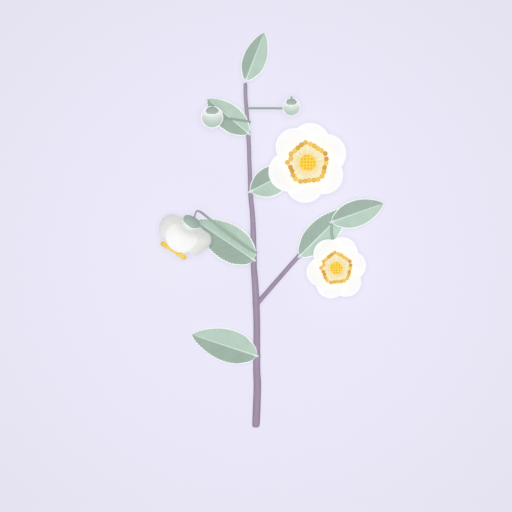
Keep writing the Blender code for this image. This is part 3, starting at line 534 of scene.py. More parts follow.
def stalk_material(name, colour, end_colour=None, change=(0.0, 1.0)):
    """Skin of a green stalk, grown: smooth and softly shining, with faint long fibres.

    The colour turns to that of the end between two lengths in millimetres.
    """
    material, shader, node = new_material(name, 0.5, 1.45, 0.25)
    grain = node("Attribute", {"attribute_name": "grain"}, "Vector")
    length = node("SeparateXYZ", {"Vector": grain}, "Z")
    share = node("MapRange", {"From Min": change[0], "From Max": change[1], "Value": length})
    ground = node("Mix", {"data_type": "RGBA", 0: share, 6: colour, 7: end_colour or colour}, 2)
    # Fibres about 0.35 mm wide and twelve times as long
    mapped = node("Mapping", {"Scale": (1.0, 1.0, 0.08), "Vector": grain})
    coloured = mottled(node, ground, mapped, 0.35, 0.95, 1.04, 3.0, 0.15)
    # Painted glow: the skin gives off a share of its colour as light, which fills the stalk's shade
    glow(node, shader, coloured, 0.55, 0.35)
    fine_bump(node, shader, grain, 0.25, 0.03, (1.0, 1.0, 0.1))
    return material


def leaf_material(leaf):
    """Upper face of a tea leaf, grown: leathery wax, one half in painted shade, pale midrib, veins
    and rim.
    """
    material, shader, node = new_material("tea_leaf_upper_face", 0.5, 1.45, 0.2,
                                          {"Coat Weight": 0.05, "Coat Roughness": 0.4})
    side, edge, along, vein = [node("Attribute", {"attribute_name": key}, "Fac")
                               for key in ("side", "edge", "along", "vein")]
    place = node("TexCoord", output="Object")
    # Painted shade: the half to the left of the midrib is darker, for the shaded side of the folded
    # blade
    half = node("MapRange", {"From Min": -0.12, "From Max": 0.12, "Value": side})
    two_tone = node("Mix", {"data_type": "RGBA", 0: half, 6: leaf.light_colour,
                            7: leaf.dark_colour}, 2)
    faint = node("MapRange", {"From Max": 0.22, "To Min": 0.22, "To Max": 0.0, "Value": vein})
    # The midrib narrows from its base and stops short of the tip
    width = leaf.rib_width / MM / 2.0
    narrow = node("MapRange", {"From Max": 0.9, "To Min": width, "To Max": width * 0.45,
                               "Value": along})
    distance = node("Math", {"operation": "ABSOLUTE", 0: side})
    inside = node("Math", {"operation": "SUBTRACT", 0: narrow, 1: distance})
    rib = node("MapRange", {"From Min": -0.06, "From Max": 0.10, "Value": inside})
    stop = node("MapRange", {"From Min": 0.90, "From Max": 0.93, "To Min": 1.0, "To Max": 0.0,
                             "Value": along})
    rib_share = node("Math", {"operation": "MULTIPLY", 0: rib, 1: stop})
    rim_width = leaf.rim_width / MM
    rim = node("MapRange", {"From Min": rim_width * 0.6, "From Max": rim_width, "To Min": 1.0,
                            "To Max": 0.0, "Value": edge})
    # Cloudy variation about 4 mm across, under the side veins, the midrib and the rim
    coloured = mottled(node, two_tone, place, 4.0 * MM, 0.97, 1.03)
    for share, shade in ((faint, leaf.rib_colour), (rib_share, leaf.rib_colour),
                         (rim, leaf.rim_colour)):
        coloured = node("Mix", {"data_type": "RGBA", 0: share, 6: coloured, 7: shade}, 2)
    # Painted glow: the leaf gives off a share of its colour as light, which fills its shade and the
    # shadows on it
    glow(node, shader, coloured, 0.45, 0.58)
    fine_bump(node, shader, place, 0.35 * MM, 0.02)
    return material


def leaf_under_material(leaf):
    """Underside of a tea leaf, grown: paler and matt, with raised veins."""
    material, shader, node = new_material("tea_leaf_underside", 0.65, 1.45, 0.2)
    side, vein = [node("Attribute", {"attribute_name": key}, "Fac") for key in ("side", "vein")]
    distance = node("Math", {"operation": "ABSOLUTE", 0: side})
    rib = node("MapRange", {"From Min": 0.30, "From Max": 0.48, "To Min": 0.9, "To Max": 0.0,
                            "Value": distance})
    faint = node("MapRange", {"From Max": 0.25, "To Min": 0.45, "To Max": 0.0, "Value": vein})
    drawn = node("Math", {"operation": "MAXIMUM", 0: rib, 1: faint})
    coloured = node("Mix", {"data_type": "RGBA", 0: drawn, 6: leaf.under_colour,
                            7: leaf.rim_colour}, 2)
    set_node(shader, {"Base Color": coloured})
    fine_bump(node, shader, node("TexCoord", output="Object"), 0.3 * MM, 0.03)
    return material


def petal_material(name, inner, outer, change=(0.25, 0.75), side_shade=None):
    """Petal of a tea flower, grown: thin soft white wax with faint long veins, and a painted glow.

    The colour turns from inner to outer between two shares of the length, and towards a
    painted shade at the sides when one is given.
    """
    material, shader, node = new_material(name, 0.55, 1.40, 0.2, {
        "Sheen Weight": 0.05, "Subsurface Weight": 0.15, "Subsurface Radius": (1.0, 1.0, 1.0),
        "Subsurface Scale": 2.5 * MM})
    along, edge, vein = [node("Attribute", {"attribute_name": key}, "Fac")
                         for key in ("along", "edge", "vein")]
    out = node("MapRange", {"From Min": change[0], "From Max": change[1], "Value": along})
    ground = node("Mix", {"data_type": "RGBA", 0: out, 6: inner, 7: outer}, 2)
    if side_shade:
        # Painted shade: the sides darken over about 2.5 mm, less so towards the tip
        beside = node("MapRange", {"interpolation_type": "SMOOTHSTEP", "From Max": 2.5,
                                   "To Min": 0.9, "To Max": 0.0, "Value": edge})
        upper = node("MapRange", {"From Min": 0.35, "From Max": 0.6, "To Min": 1.0,
                                  "To Max": 0.0, "Value": along})
        shaded = node("Math", {"operation": "MULTIPLY", 0: beside, 1: upper})
        ground = node("Mix", {"data_type": "RGBA", 0: shaded, 6: ground, 7: side_shade}, 2)
    light = node("MapRange", {"From Max": 0.35, "To Min": 0.975, "Value": vein})
    coloured = node("VectorMath", {"operation": "SCALE", 0: ground, "Scale": light})
    # Painted glow: the petal gives off a share of its colour as light, which fills the shade
    # between petals and under the stamens
    glow(node, shader, coloured, 0.37, 0.60)
    fine_bump(node, shader, node("TexCoord", output="Object"), 0.5 * MM, 0.02)
    return material


def calyx_material(colour, margin):
    """Sepals, grown: firm green scales with a thin dry pale margin."""
    material, shader, node = new_material("tea_calyx_scale", 0.55, 1.45, 0.2)
    edge = node("Attribute", {"attribute_name": "edge"}, "Fac")
    place = node("TexCoord", output="Object")
    # Cloudy variation about 1.2 mm across
    ground = mottled(node, colour[:3], place, 1.2 * MM, 0.96, 1.04)
    rim = node("MapRange", {"From Min": 0.36, "From Max": 0.50, "To Min": 1.0, "To Max": 0.0,
                            "Value": edge})
    coloured = node("Mix", {"data_type": "RGBA", 0: rim, 6: ground, 7: margin}, 2)
    set_node(shader, {"Base Color": coloured})
    fine_bump(node, shader, place, 0.3 * MM, 0.03)
    return material


def filament_material(flower):
    """Filaments, grown: pale yellow silky threads, deeper in tone at their root."""
    material, shader, node = new_material("tea_filament", 0.6, 1.40, 0.2, {
        "Sheen Weight": 0.1, "Subsurface Weight": 0.5, "Subsurface Radius": (1.0, 1.0, 0.8),
        "Subsurface Scale": 1.5 * MM})
    along = node("Attribute", {"attribute_name": "along"}, "Fac")
    coloured = node("Mix", {"data_type": "RGBA", 0: along, 6: flower.filament_root,
                            7: flower.filament_colour}, 2)
    # Painted glow: the filaments give off a share of their colour as light, which fills the shade
    # among them and in their cup
    glow(node, shader, coloured, 0.30, 0.65)
    fine_bump(node, shader, node("TexCoord", output="Object"), 0.25 * MM, 0.02)
    return material


def pollen_material(name, light_colour, dark_colour, ripe_colour):
    """Anthers, grown: dry and powdery, each with its own shade of gold, the ripest deeper."""
    material, shader, node = new_material(name, 0.8, 1.45, 0.15, {"Sheen Weight": 0.1})
    tone = node("Attribute", {"attribute_name": "tone"}, "Fac")
    place = node("TexCoord", output="Object")
    palette = node("ValToRGB", {"Fac": tone})
    set_stops(palette, [(0.0, light_colour), (0.75, dark_colour), (0.85, ripe_colour),
                        (1.0, ripe_colour)])
    # Pollen grains are drawn 0.2 mm across, so that they show
    coloured = mottled(node, palette, place, 0.2 * MM, 0.94, 1.05, 2.0)
    # Painted glow: the anthers give off a share of their colour as light, which softens the shade
    # between them
    glow(node, shader, coloured, 0.35, 0.62)
    fine_bump(node, shader, place, 0.2 * MM, 0.04)
    return material


def bud_material(bud):
    """Closed petals of a bud, grown: tight, white by the calyx, green below, with a pale down."""
    material, shader, node = new_material("tea_bud_petal", 0.5, 1.40, 0.2,
                                          {"Sheen Weight": 0.5, "Sheen Roughness": 0.3})
    down, up = [node("Attribute", {"attribute_name": key}, "Fac") for key in ("down", "up")]
    place = node("TexCoord", output="Object")
    ramp = node("ValToRGB", {"Fac": down})
    set_stops(ramp, [(0.37, bud.top_colour), (0.50, bud.middle_colour), (0.78, bud.tip_colour)])
    # Cloudy variation about 1.5 mm across
    coloured = mottled(node, ramp, place, 1.5 * MM, 0.98, 1.02, 2.0)
    # Painted highlight: a pale band round the bud's middle, along its outline seen from above
    over = node("MapRange", {"From Min": 0.24, "From Max": 0.40, "To Min": 1.0, "To Max": 0.0,
                             "Value": up})
    under = node("MapRange", {"From Min": -0.45, "From Max": -0.15, "Value": up})
    pale = node("Math", {"operation": "MULTIPLY", 0: over, 1: under})
    highlighted = node("Mix", {"data_type": "RGBA", 0: pale, 6: coloured, 7: bud.highlight_colour}, 2)
    more = node("MapRange", {"To Min": 1.0, "To Max": 1.3, "Value": pale})
    glow_colour = node("VectorMath", {"operation": "SCALE", 0: highlighted, "Scale": more})
    # Painted glow: the bud gives off a share of its colour as light, up to 1.3 times more in the
    # band
    glow(node, shader, highlighted, 0.55, 0.46, glow_colour)
    fine_bump(node, shader, place, 0.4 * MM, 0.02)
    return material


def round_axis(angle, radius=1.0, height=0.0):
    """Point at an angle and a radius round the Z axis, at a height."""
    return Vector((radius * math.cos(angle), radius * math.sin(angle), height))


def finish_piece(piece, materials, nodes, place=None):
    """Place a piece, give it its materials, attach it to the body and hide the solids it stands
    for.
    """
    if place:
        piece.data.transform(place)
    piece.data.materials.clear()
    for material in materials:
        piece.data.materials.append(material)
    piece.data.shade_smooth()
    piece.data.set_sharp_from_angle(angle=SHARP_ANGLE)
    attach(piece, BODY)
    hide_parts(*nodes)


def new_object(name, shape):
    """An object from a bmesh that is then freed."""
    mesh = bpy.data.meshes.new(name)
    shape.to_mesh(mesh)
    shape.free()
    piece = bpy.data.objects.new(name, mesh)
    bpy.context.scene.collection.objects.link(piece)
    return piece


def new_shape(key):
    """An empty bmesh whose points hold a named value, and the layer of that value."""
    shape = bmesh.new()
    return shape, shape.verts.layers.float.new(key)


def shaped_grid(rows, columns, place):
    """A grid shaped by place(along, across), which gives a point and its named values."""
    shape = bmesh.new()
    bmesh.ops.create_grid(shape, x_segments=rows, y_segments=columns, size=1.0)
    layers = {}
    for key, value in place(0.5, 0.0)[1].items():
        kinds = shape.verts.layers
        kind = kinds.float_vector if isinstance(value, Vector) else kinds.float
        layers[key] = kind.new(key)
    for vert in shape.verts:
        point, values = place((vert.co.x + 1.0) / 2.0, vert.co.y)
        vert.co = point * MM
        for key, value in values.items():
            vert[layers[key]] = value
    bmesh.ops.remove_doubles(shape, verts=shape.verts, dist=WELD)
    return shape


def blade(name, rows, columns, place, thickness):
    """A thin closed blade, thinner at its edge; place also gives its share of the thickness."""
    shape = shaped_grid(rows, columns, place)
    body = shape.verts.layers.float.get("body")
    deform = shape.verts.layers.deform.verify()
    for vert in shape.verts:
        vert[deform][0] = vert[body]
    piece = new_object(name, shape)
    piece.vertex_groups.new(name="body")
    solid = piece.modifiers.new("Solidify", "SOLIDIFY")
    solid.thickness = thickness
    solid.offset = 0.0
    solid.vertex_group = "body"
    solid.thickness_vertex_group = EDGE_THICKNESS
    solid.material_offset = 1
    drawn = piece.evaluated_get(bpy.context.evaluated_depsgraph_get())
    flat, piece.data = piece.data, bpy.data.meshes.new_from_object(drawn)
    piece.modifiers.clear()
    bpy.data.meshes.remove(flat)
    return piece


def thickness_share(edge, least, width):
    """Share of a blade's thickness: least at its edge, and more over a width further in."""
    return min(1.0, least + edge / width)


def route_slope(points, index):
    """Direction of a route at one of its points, per unit of its length."""
    before = points[max(index - 1, 0)]
    after = points[min(index + 1, len(points) - 1)]
    here = points[index]
    return (after - before) / max((here - before).length + (after - here).length, 0.001)


def smooth_route(points, steps):
    """Points on a smooth curve through a route's own points, ends kept."""
    vectors = [Vector(point) for point in points]
    route = []
    for index, (start, end) in enumerate(zip(vectors, vectors[1:])):
        span = (end - start).length
        leaving = route_slope(vectors, index) * span
        arriving = route_slope(vectors, index + 1) * span
        for step in range(steps):
            t = step / steps
            route.append(start * (2 * t ** 3 - 3 * t ** 2 + 1) + leaving * (t ** 3 - 2 * t ** 2 + t)
                         + end * (3 * t ** 2 - 2 * t ** 3) + arriving * (t ** 3 - t ** 2))
    route.append(vectors[-1])
    return route


def tube(name, stations, sides, swell=None):
    """A closed tube through stations of x, y, z and radius; swell(length, angle) adds to it."""
    centres = [Vector(station[:3]) for station in stations]
    last = len(stations) - 1
    lengths = [0.0]
    for before, after in zip(centres, centres[1:]):
        lengths.append(lengths[-1] + (after - before).length)
    frames = []
    across = None
    for index in range(last + 1):
        ahead = (centres[min(index + 1, last)] - centres[max(index - 1, 0)]).normalized()
        across = across or ahead.orthogonal().normalized()
        across = (across - ahead * across.dot(ahead)).normalized()
        frames.append((across, ahead.cross(across)))
    # The end rings are repeated with a smaller radius, so that they close the tube
    order = [(0, 0.0), (0, END_RING)] + [(index, 1.0) for index in range(last + 1)]
    order += [(last, END_RING), (last, 0.0)]

    def place(along, around):
        index, share = order[round(along * (len(order) - 1))]
        angle = around * math.pi
        thick = stations[index][3]
        radius = thick * share
        if swell and share == 1.0:
            radius += swell(lengths[index], angle)
        across, up = frames[index]
        ring = round_axis(angle)
        point = centres[index] + (across * ring.x + up * ring.y) * radius
        grain = Vector((ring.x * thick, ring.y * thick, lengths[index]))
        return point, {"grain": grain, "cut": float(index == 0 and share < 1.0)}

    shape = shaped_grid(len(order) - 1, sides, place)
    bmesh.ops.recalc_face_normals(shape, faces=shape.faces)
    return new_object(name, shape)


def ridged(depth, count):
    """Fine ridges along a green stalk, as a function of length and angle."""
    return lambda length, angle: depth * math.cos(count * angle)


def add_stalk(name, route, skin, nodes):
    """A green stalk through x, y, z and radius."""
    stalk = tube(name, smooth_route(route, STALK_STEPS), STALK_SIDES, ridged(*STALK_RIDGES))
    finish_piece(stalk, [skin], nodes)


def turned(name, profile, steps):
    """A turned body from radius and height pairs, on a smooth curve through them."""
    rows = (len(profile) - 1) * steps
    route = smooth_route([(*point, 0.0) for point in profile], steps)

    def place(along, around):
        point = route[round(along * rows)]
        # It has no edge, so it counts as far from one, and it has no veins
        values = {"along": along, "edge": 9.0, "tone": 0.0, "vein": 1.0}
        return round_axis(around * math.pi, point.x, point.y), values

    shape = shaped_grid(rows, TURNED_SIDES, place)
    bmesh.ops.recalc_face_normals(shape, faces=shape.faces)
    return new_object(name, shape)


def bark_swell(stem, knots):
    """Fine ridges of bark and a swelling at each knot, as a function of length and angle."""
    def swell(length, angle):
        ring = round_axis(angle) * RIDGES_ROUND
        ridge = noise.noise(Vector((ring.x, ring.y, length * RIDGES_ALONG)))
        ridge += 0.5 * noise.noise(Vector((ring.x * 2.3, ring.y * 2.3, length * 0.3)))
        knot = sum(math.exp(-((length - centre) / KNOT_LENGTH) ** 2) for centre in knots)
        return ridge * stem.ridge_depth / MM + knot * stem.knot_height / MM
    return swell


def build_stem(stem):
    """Main stem and side branch, with bark."""
    bark = bark_material(stem)
    start = STEM_ROUTE[0][1]
    knots = [leaf["base"][1] - start for leaf in LEAVES if leaf["carrier"] == "stem"]
    knots.append(BRANCH_ROUTE[0][1] - start)
    for name, route, places in (("stem_main", STEM_ROUTE, knots),
                                ("stem_branch", BRANCH_ROUTE, BRANCH_KNOTS)):
        piece = tube(name, smooth_route(route, STEM_STEPS), stem.sides,
                     bark_swell(stem, places))
        finish_piece(piece, [bark], ["stem"])


def leaf_outline(along, widest):
    """Share of the half width at a share of the length."""
    power = math.log(0.5) / math.log(widest)
    fullness = LEAF_BASE_FULLNESS if along < widest else LEAF_TIP_FULLNESS
    return math.sin(math.pi * min(along, 1.0) ** power) ** fullness


def leaf_height(leaf, along, y):
    """Height of the blade's middle over its base."""
    fall = leaf["fall"] * along ** leaf["bend"]
    fold = leaf["fold"] * abs(y) * math.sin(math.pi * min(1.0, along * 1.2 + 0.05))
    wave = LEAF_WAVE * math.sin(along * LEAF_WAVES) * (abs(y) / leaf["left"]) ** 2
    return wave - fall - fold


def leaf_place(leaf, look, along, across):
    """Point of the blade in the leaf's own frame, +X towards its tip, with its values."""
    # The columns are closer together in the middle
    spread = across * (0.6 + 0.4 * across ** 2)
    half = leaf["left"] if across > 0 else leaf["right"]
    width = half * leaf_outline(along, leaf["widest"])
    width = max(width, LEAF_BASE_HALF_WIDTH * (1.0 - along))
    count = along * look.teeth
    tooth = count - math.floor(count + 0.001)
    grown = min(1.0, max(0.0, (along - TOOTH_START) / TOOTH_FADE))
    teeth = look.tooth_height / MM * tooth * grown * min(1.0, (1.0 - along) / TOOTH_STOP)
    y = width * spread
    lean = abs(y) / half
    phase = (along - VEIN_LEAN * lean ** 0.9 - VEIN_BEND * lean ** 2) * (look.vein_pairs + 2)
    between = abs(math.sin(math.pi * phase))
    inner = min(1.0, abs(y) / VEIN_CLEAR) * max(0.0, 1.0 - (abs(y) / max(width, 0.1)) ** 4)
    z = leaf_height(leaf, along, y)
    z += look.vein_depth / MM * (between ** 0.7 - 0.6) * inner
    z -= RIB_GROOVE * math.exp(-(y / RIB_GROOVE_WIDTH) ** 2) * (1.0 - along)
    # Only the outermost columns take part in the teeth
    outer = abs(across) ** 8
    y += math.copysign(teeth * outer, across)
    edge = width * (1.0 - abs(spread)) + teeth * (1.0 - outer)
    return Vector((along * leaf["length"], y, z)), {
        "side": y, "edge": edge, "along": along, "body": thickness_share(edge, 0.1, 1.2),
        "vein": between if inner > 0.05 else 1.0}


def leaf_base_height(leaf):
    """Height of a leaf's base: over the stem or branch beside it, or at a route's end."""
    if leaf["carrier"] == "stem_tip":
        return STEM_ROUTE[-1][2]
    if leaf["carrier"] == "shoot":
        return SHOOT_ROUTE[-1][2] + SHOOT_ROUTE[-1][3] + LEAF_SEAT
    y = leaf["base"][1]
    route = STEM_ROUTE if leaf["carrier"] == "stem" else BRANCH_ROUTE
    low, high = next(pair for pair in zip(route, route[1:]) if pair[0][1] <= y <= pair[1][1])
    part = (y - low[1]) / (high[1] - low[1])
    centre, radius = [low[key] + (high[key] - low[key]) * part for key in (2, 3)]
    return centre + radius + LEAF_SEAT


def build_leaves(look):
    """Toothed two-tone blades, each on its petiole."""
    upper = leaf_material(look)
    under = leaf_under_material(look)
    skin = stalk_material("tea_petiole_skin", look.petiole_colour)
    for leaf in LEAVES:
        nodes = [leaf["name"]]
        turn = Matrix.Rotation(math.radians(leaf["heading"]), 4, "Z")
        place = Matrix.Translation(Vector((*leaf["base"], leaf_base_height(leaf))) * MM) @ turn
        piece = blade(leaf["name"] + "_blade", look.teeth * 6, LEAF_COLUMNS,
                      lambda along, across: leaf_place(leaf, look, along, across),
                      look.thickness)
        finish_piece(piece, [upper, under], nodes, place)
        route = PETIOLE_AT_TIP if leaf["carrier"] == "stem_tip" else PETIOLE_ON_STEM
        petiole = tube(leaf["name"] + "_petiole", smooth_route(route, STALK_STEPS),
                       PETIOLE_SIDES)
        finish_piece(petiole, [skin], nodes, place)


def build_shoot(flower):
    """Green young shoot with faint ridges."""
    skin = stalk_material("tea_young_shoot_skin", flower.stalk_colour)
    piece = tube("shoot", smooth_route(SHOOT_ROUTE, SHOOT_STEPS), SHOOT_SIDES,
                 ridged(*SHOOT_RIDGES))
    finish_piece(piece, [skin], ["branch_shoot"])


def edge_lift(kind, turn):
    """Lift of a petal's surface at an angle from its middle, in steps of the overlap."""
    share = turn / math.radians(PETAL_STEP_ANGLE)
    both = math.sqrt(share ** 2 + 0.04) - 0.2
    return dict(plain=share, left=-share, right=share, top=both + PETAL_APART,
                lowest=-both - PETAL_APART, outside=-both, inside=both)[kind]


def petal_vein(across):
    """0 on each of the faint veins that fan out over a petal, and 1 half way between them."""
    return abs(math.sin(across * PETAL_VEINS * math.pi))


def petal_relief(along, across):
    """Fine relief over the veins of a petal, which ends at its tip."""
    return PETAL_RELIEF * (petal_vein(across) * min(1.0, (1.0 - along) * 4.0))


def petal_values(along, across, edge):
    """Values that a petal's material and thickness read."""
    return {"along": along, "vein": petal_vein(across), "edge": edge,
            "body": thickness_share(edge, 0.1, 1.5)}


def petal_opening(grown, widest):
    """Half angle of a petal in degrees, which widens from its claw."""
    return PETAL_CLAW_ANGLE + (widest - PETAL_CLAW_ANGLE) * min(1.0, grown)


def open_petal_half_angle(radius, reach):
    """Half angle of a broad round petal at a radius."""
    centre = reach * PETAL_CENTRE
    bulge = reach - centre
    cosine = (radius ** 2 + centre ** 2 - bulge ** 2) / (2 * radius * centre)
    rounded = math.degrees(math.acos(max(-1.0, min(1.0, cosine))))
    claw = petal_opening((radius - PETAL_ROOT) / (0.3 * reach), PETAL_WIDEST_ANGLE)
    return math.radians(min(rounded, claw))


def open_petal_place(flower, heading, reach, kind, along, across):
    """Point of an open flower's petal round its own axis."""
    share = 1.0 - (1.0 - along) ** 2
    radius = PETAL_ROOT + (reach - PETAL_ROOT) * share
    half = open_petal_half_angle(radius, reach)
    turn = half * across
    height = flower["floor"] + flower["rise"] * (radius / reach) ** PETAL_CURVE
    height += PETAL_STEP * edge_lift(kind, turn)
    # A shallow wave near the rim and a fine relief over the veins
    wave = math.sin(math.degrees(turn) * 0.16 + heading) * share ** 4
    height += 0.16 * wave + petal_relief(along, across)
    edge = min(radius * half * (1.0 - abs(across)), reach - radius)
    point = round_axis(math.radians(heading) + turn, radius, height)
    return point, petal_values(along, across, edge)


def sepal_place(heading, along, across):
    """Point of a broad round sepal under an open flower."""
    share = math.sin(along * math.pi / 2)
    radius = SEPAL_ROOT + SEPAL_LENGTH * share
    half = math.radians(SEPAL_HALF_ANGLE) * math.sqrt(max(0.0, 1.0 - along ** 3))
    height = SEPAL_HEIGHT + SEPAL_RISE * share ** 2 + 0.1 * math.cos(across * 2.0)
    edge = min(radius * half * (1.0 - abs(across)), SEPAL_ROOT + SEPAL_LENGTH - radius)
    return (round_axis(math.radians(heading) + half * across, radius, height),
            {"edge": edge, "body": thickness_share(edge, 0.2, 1.5)})


def add_bead(shape, layer, centre, radius, toward, tone, detail=2):
    """An anther: a bead with a groove between its two pollen sacs, pointing toward."""
    made = bmesh.ops.create_icosphere(shape, subdivisions=detail, radius=1.0)["verts"]
    turn = toward.to_track_quat("X", "Z").to_matrix()
    for vert in made:
        groove = 1.0 - ANTHER_GROOVE * math.exp(-(vert.co.y / ANTHER_GROOVE_WIDTH) ** 2)
        local = vert.co * Vector(ANTHER_SHAPE) * groove
        vert.co = (centre + turn @ local * radius) * MM
        vert[layer] = tone


def add_thread(shape, layer, points):
    """A filament: a thin tapered thread through points."""
    count = len(points) - 1
    for index, (start, end) in enumerate(zip(points, points[1:])):
        turn = (end - start).to_track_quat("Z", "Y").to_matrix().to_4x4()
        place = Matrix.Translation((start + end) / 2 * MM) @ turn
        made = bmesh.ops.create_cone(shape, cap_ends=True, cap_tris=False, segments=THREAD_SIDES,
                                     radius1=THREAD_RADII[index] * MM,
                                     radius2=THREAD_RADII[index + 1] * MM,
                                     depth=(end - start).length * MM, matrix=place)["verts"]
        for vert in made:
            further = (vert.co / MM - start).length >= (vert.co / MM - end).length
            vert[layer] = (index + further) / count


def ring_share(angle):
    """Share of the ring's radius at an angle in degrees, for its soft corners."""
    corner = math.cos(math.radians(STAMEN_CORNERS * (angle - STAMEN_CORNER_TURN)))
    return 1.0 + STAMEN_CORNER_DEPTH * corner


def anther_tips(flower):
    """Angle, outward direction and place of each anther of the ring."""
    draw = random.Random(SEED)
    # The petals reach about 0.36 of their rise where the ring stands over them
    height = flower["floor"] + flower["rise"] * 0.36 + PETAL_STEP + flower["anther"] + RING_CLEAR
    tips = []
    for index in range(STAMEN_COUNT):
        angle = STAMEN_START - 360.0 / STAMEN_COUNT * index
        angle += draw.uniform(-STAMEN_TURN_JITTER, STAMEN_TURN_JITTER)
        share = ring_share(angle) + {0: STAMEN_FIRST_OUT, 1: -STAMEN_SECOND_IN}.get(index, 0.0)
        radius = flower["ring"] * share + draw.uniform(-STAMEN_JITTER, STAMEN_JITTER)
        toward = round_axis(math.radians(angle))
        tips.append((angle, toward, toward * radius + Vector((0.0, 0.0, height))))
    return tips


def build_ring(flower, look, place, nodes, threads, pollen):
    """Ring of long stamens: anthers, their filaments, and the cup that the filaments form."""
    draw = random.Random(SEED + 3)
    tips = anther_tips(flower)
    disc = flower["disc"]
    seat = flower["floor"] + PETAL_BASE_TOP + DISC_SEAT
    beads, tone = new_shape("tone")
    for _, toward, tip in tips:
        add_bead(beads, tone, tip, flower["anther"], toward, draw.random(), 3)
    piece = new_object(flower["name"] + "_anthers", beads)
    finish_piece(piece, [pollen], nodes, place)

    hair, along = new_shape("along")
    for index in range(look.filaments):
        angle, _, tip = tips[index % STAMEN_COUNT]
        out = round_axis(math.radians(angle + draw.uniform(-THREAD_SPREAD, THREAD_SPREAD)))
        start = out * (disc * THREAD_ROOT) + Vector((0.0, 0.0, seat))
        # Threads end inside and below their anther, each a little differently
        end = out * (tip.xy.length - draw.uniform(0.0, 0.9))
        end.z = tip.z - draw.uniform(0.3, 1.0)
        middle = (start + end) / 2 + Vector((0.0, 0.0, 0.35))
        add_thread(hair, along, [start, middle, end])
    piece = new_object(flower["name"] + "_filaments", hair)
    finish_piece(piece, [threads], nodes, place)

    def cup_place(along, around):
        angle = around * 180.0
        turn = math.radians(angle)
        inner = disc * CUP_INNER
        outer = flower["ring"] * ring_share(angle) * CUP_OUTER
        flute = FLUTE_DEPTH * math.cos(turn * FLUTES) * min(1.0, along * 3.0)
        low = seat - 0.3
        height = low + (tips[0][2].z - RING_CLEAR - low) * along + flute
        point = round_axis(turn, inner + (outer - inner) * along, height)
        return point, {"along": along, "body": 1.0}

    piece = blade(flower["name"] + "_filament_cup", CUP_ROWS, 6 * FLUTES, cup_place,
                  CUP_THICKNESS * MM)
    finish_piece(piece, [threads, threads], nodes, place)


def build_disc(flower, place, nodes, gold):
    """Crowded middle stamens: a low dome of small anthers, the riper ones in rows."""
    disc = flower["disc"]
    seat = flower["floor"] + PETAL_BASE_TOP + DISC_SEAT
    base = seat - DISC_DEPTH
    crown = seat + DISC_RISE
    dome = turned(flower["name"] + "_disc_dome",
                  [(0.0, crown), (disc * 0.55, crown - 0.25), (disc * 0.90, crown - 1.0),
                   (disc * 0.97, crown - 1.6), (disc * 0.72, seat - 0.4), (2.0, base + 0.6),
                   (1.9, base - 0.4), (0.0, base - 0.4)], 6)
    finish_piece(dome, [gold], nodes, place)

    beads, tone = new_shape("tone")
    draw = random.Random(SEED + 5)
    pitch = flower["dot_pitch"]
    count = int(disc / (pitch / 2)) + 1
    for row in range(-count, count + 1):
        for step in range(-count, count + 1):
            x = (step + 0.5) * pitch / 2
            y = (row + 0.5) * pitch / 2
            reach = math.hypot(x, y) / disc
            if reach > DISC_EDGE:
                continue
            # Riper anthers are larger, stand higher and sit on every second place of each
            # second row, except near the edge
            ripe = step % 2 == 0 and row % 2 == 0 and reach <= RIPE_EDGE
            size = pitch * (RIPE_SIZE if ripe else DOT_SIZE)
            z = crown - 0.05 - 0.95 * reach ** 2.4
            centre = Vector((x, y, z + (0.10 if ripe else -0.14)))
            shade = 0.9 if ripe else draw.uniform(0.0, 0.7)
            toward = Vector((math.cos(draw.uniform(0, 6)), math.sin(draw.uniform(0, 6)), 0.0))
            add_bead(beads, tone, centre, size, toward, shade)
    piece = new_object(flower["name"] + "_disc_anthers", beads)
    finish_piece(piece, [gold], nodes, place)


def build_open_calyx(flower, place, skin, scales):
    """Stalk, receptacle on its small flat foot, and five sepals."""
    nodes = [flower["name"] + "_calyx"]
    route = [(*point, STALK_RADIUS) for point in flower["route"]]
    add_stalk(flower["name"] + "_stalk", route, skin, nodes)
    top = flower["floor"] - 0.8
    body = turned(flower["name"] + "_receptacle",
                  [(0.0, top), (RECEPTACLE_RADIUS - 0.6, top),
                   (RECEPTACLE_RADIUS, RECEPTACLE_HEIGHT), (FOOT_RADIUS + 0.6, 0.9),
                   (FOOT_RADIUS, 0.12), (FOOT_RADIUS - 0.3, 0.0), (FOOT_RADIUS - 0.35, 0.0),
                   (0.0, 0.0)], 5)
    finish_piece(body, [scales], nodes, place)
    for index in range(SEPAL_COUNT):
        heading = 360.0 / SEPAL_COUNT * index + SEPAL_TURN
        sepal = blade(f"{flower['name']}_sepal_{index + 1}", *SEPAL_GRID,
                      lambda along, across: sepal_place(heading, along, across),
                      SEPAL_THICKNESS * MM)
        finish_piece(sepal, [scales, scales], nodes, place)


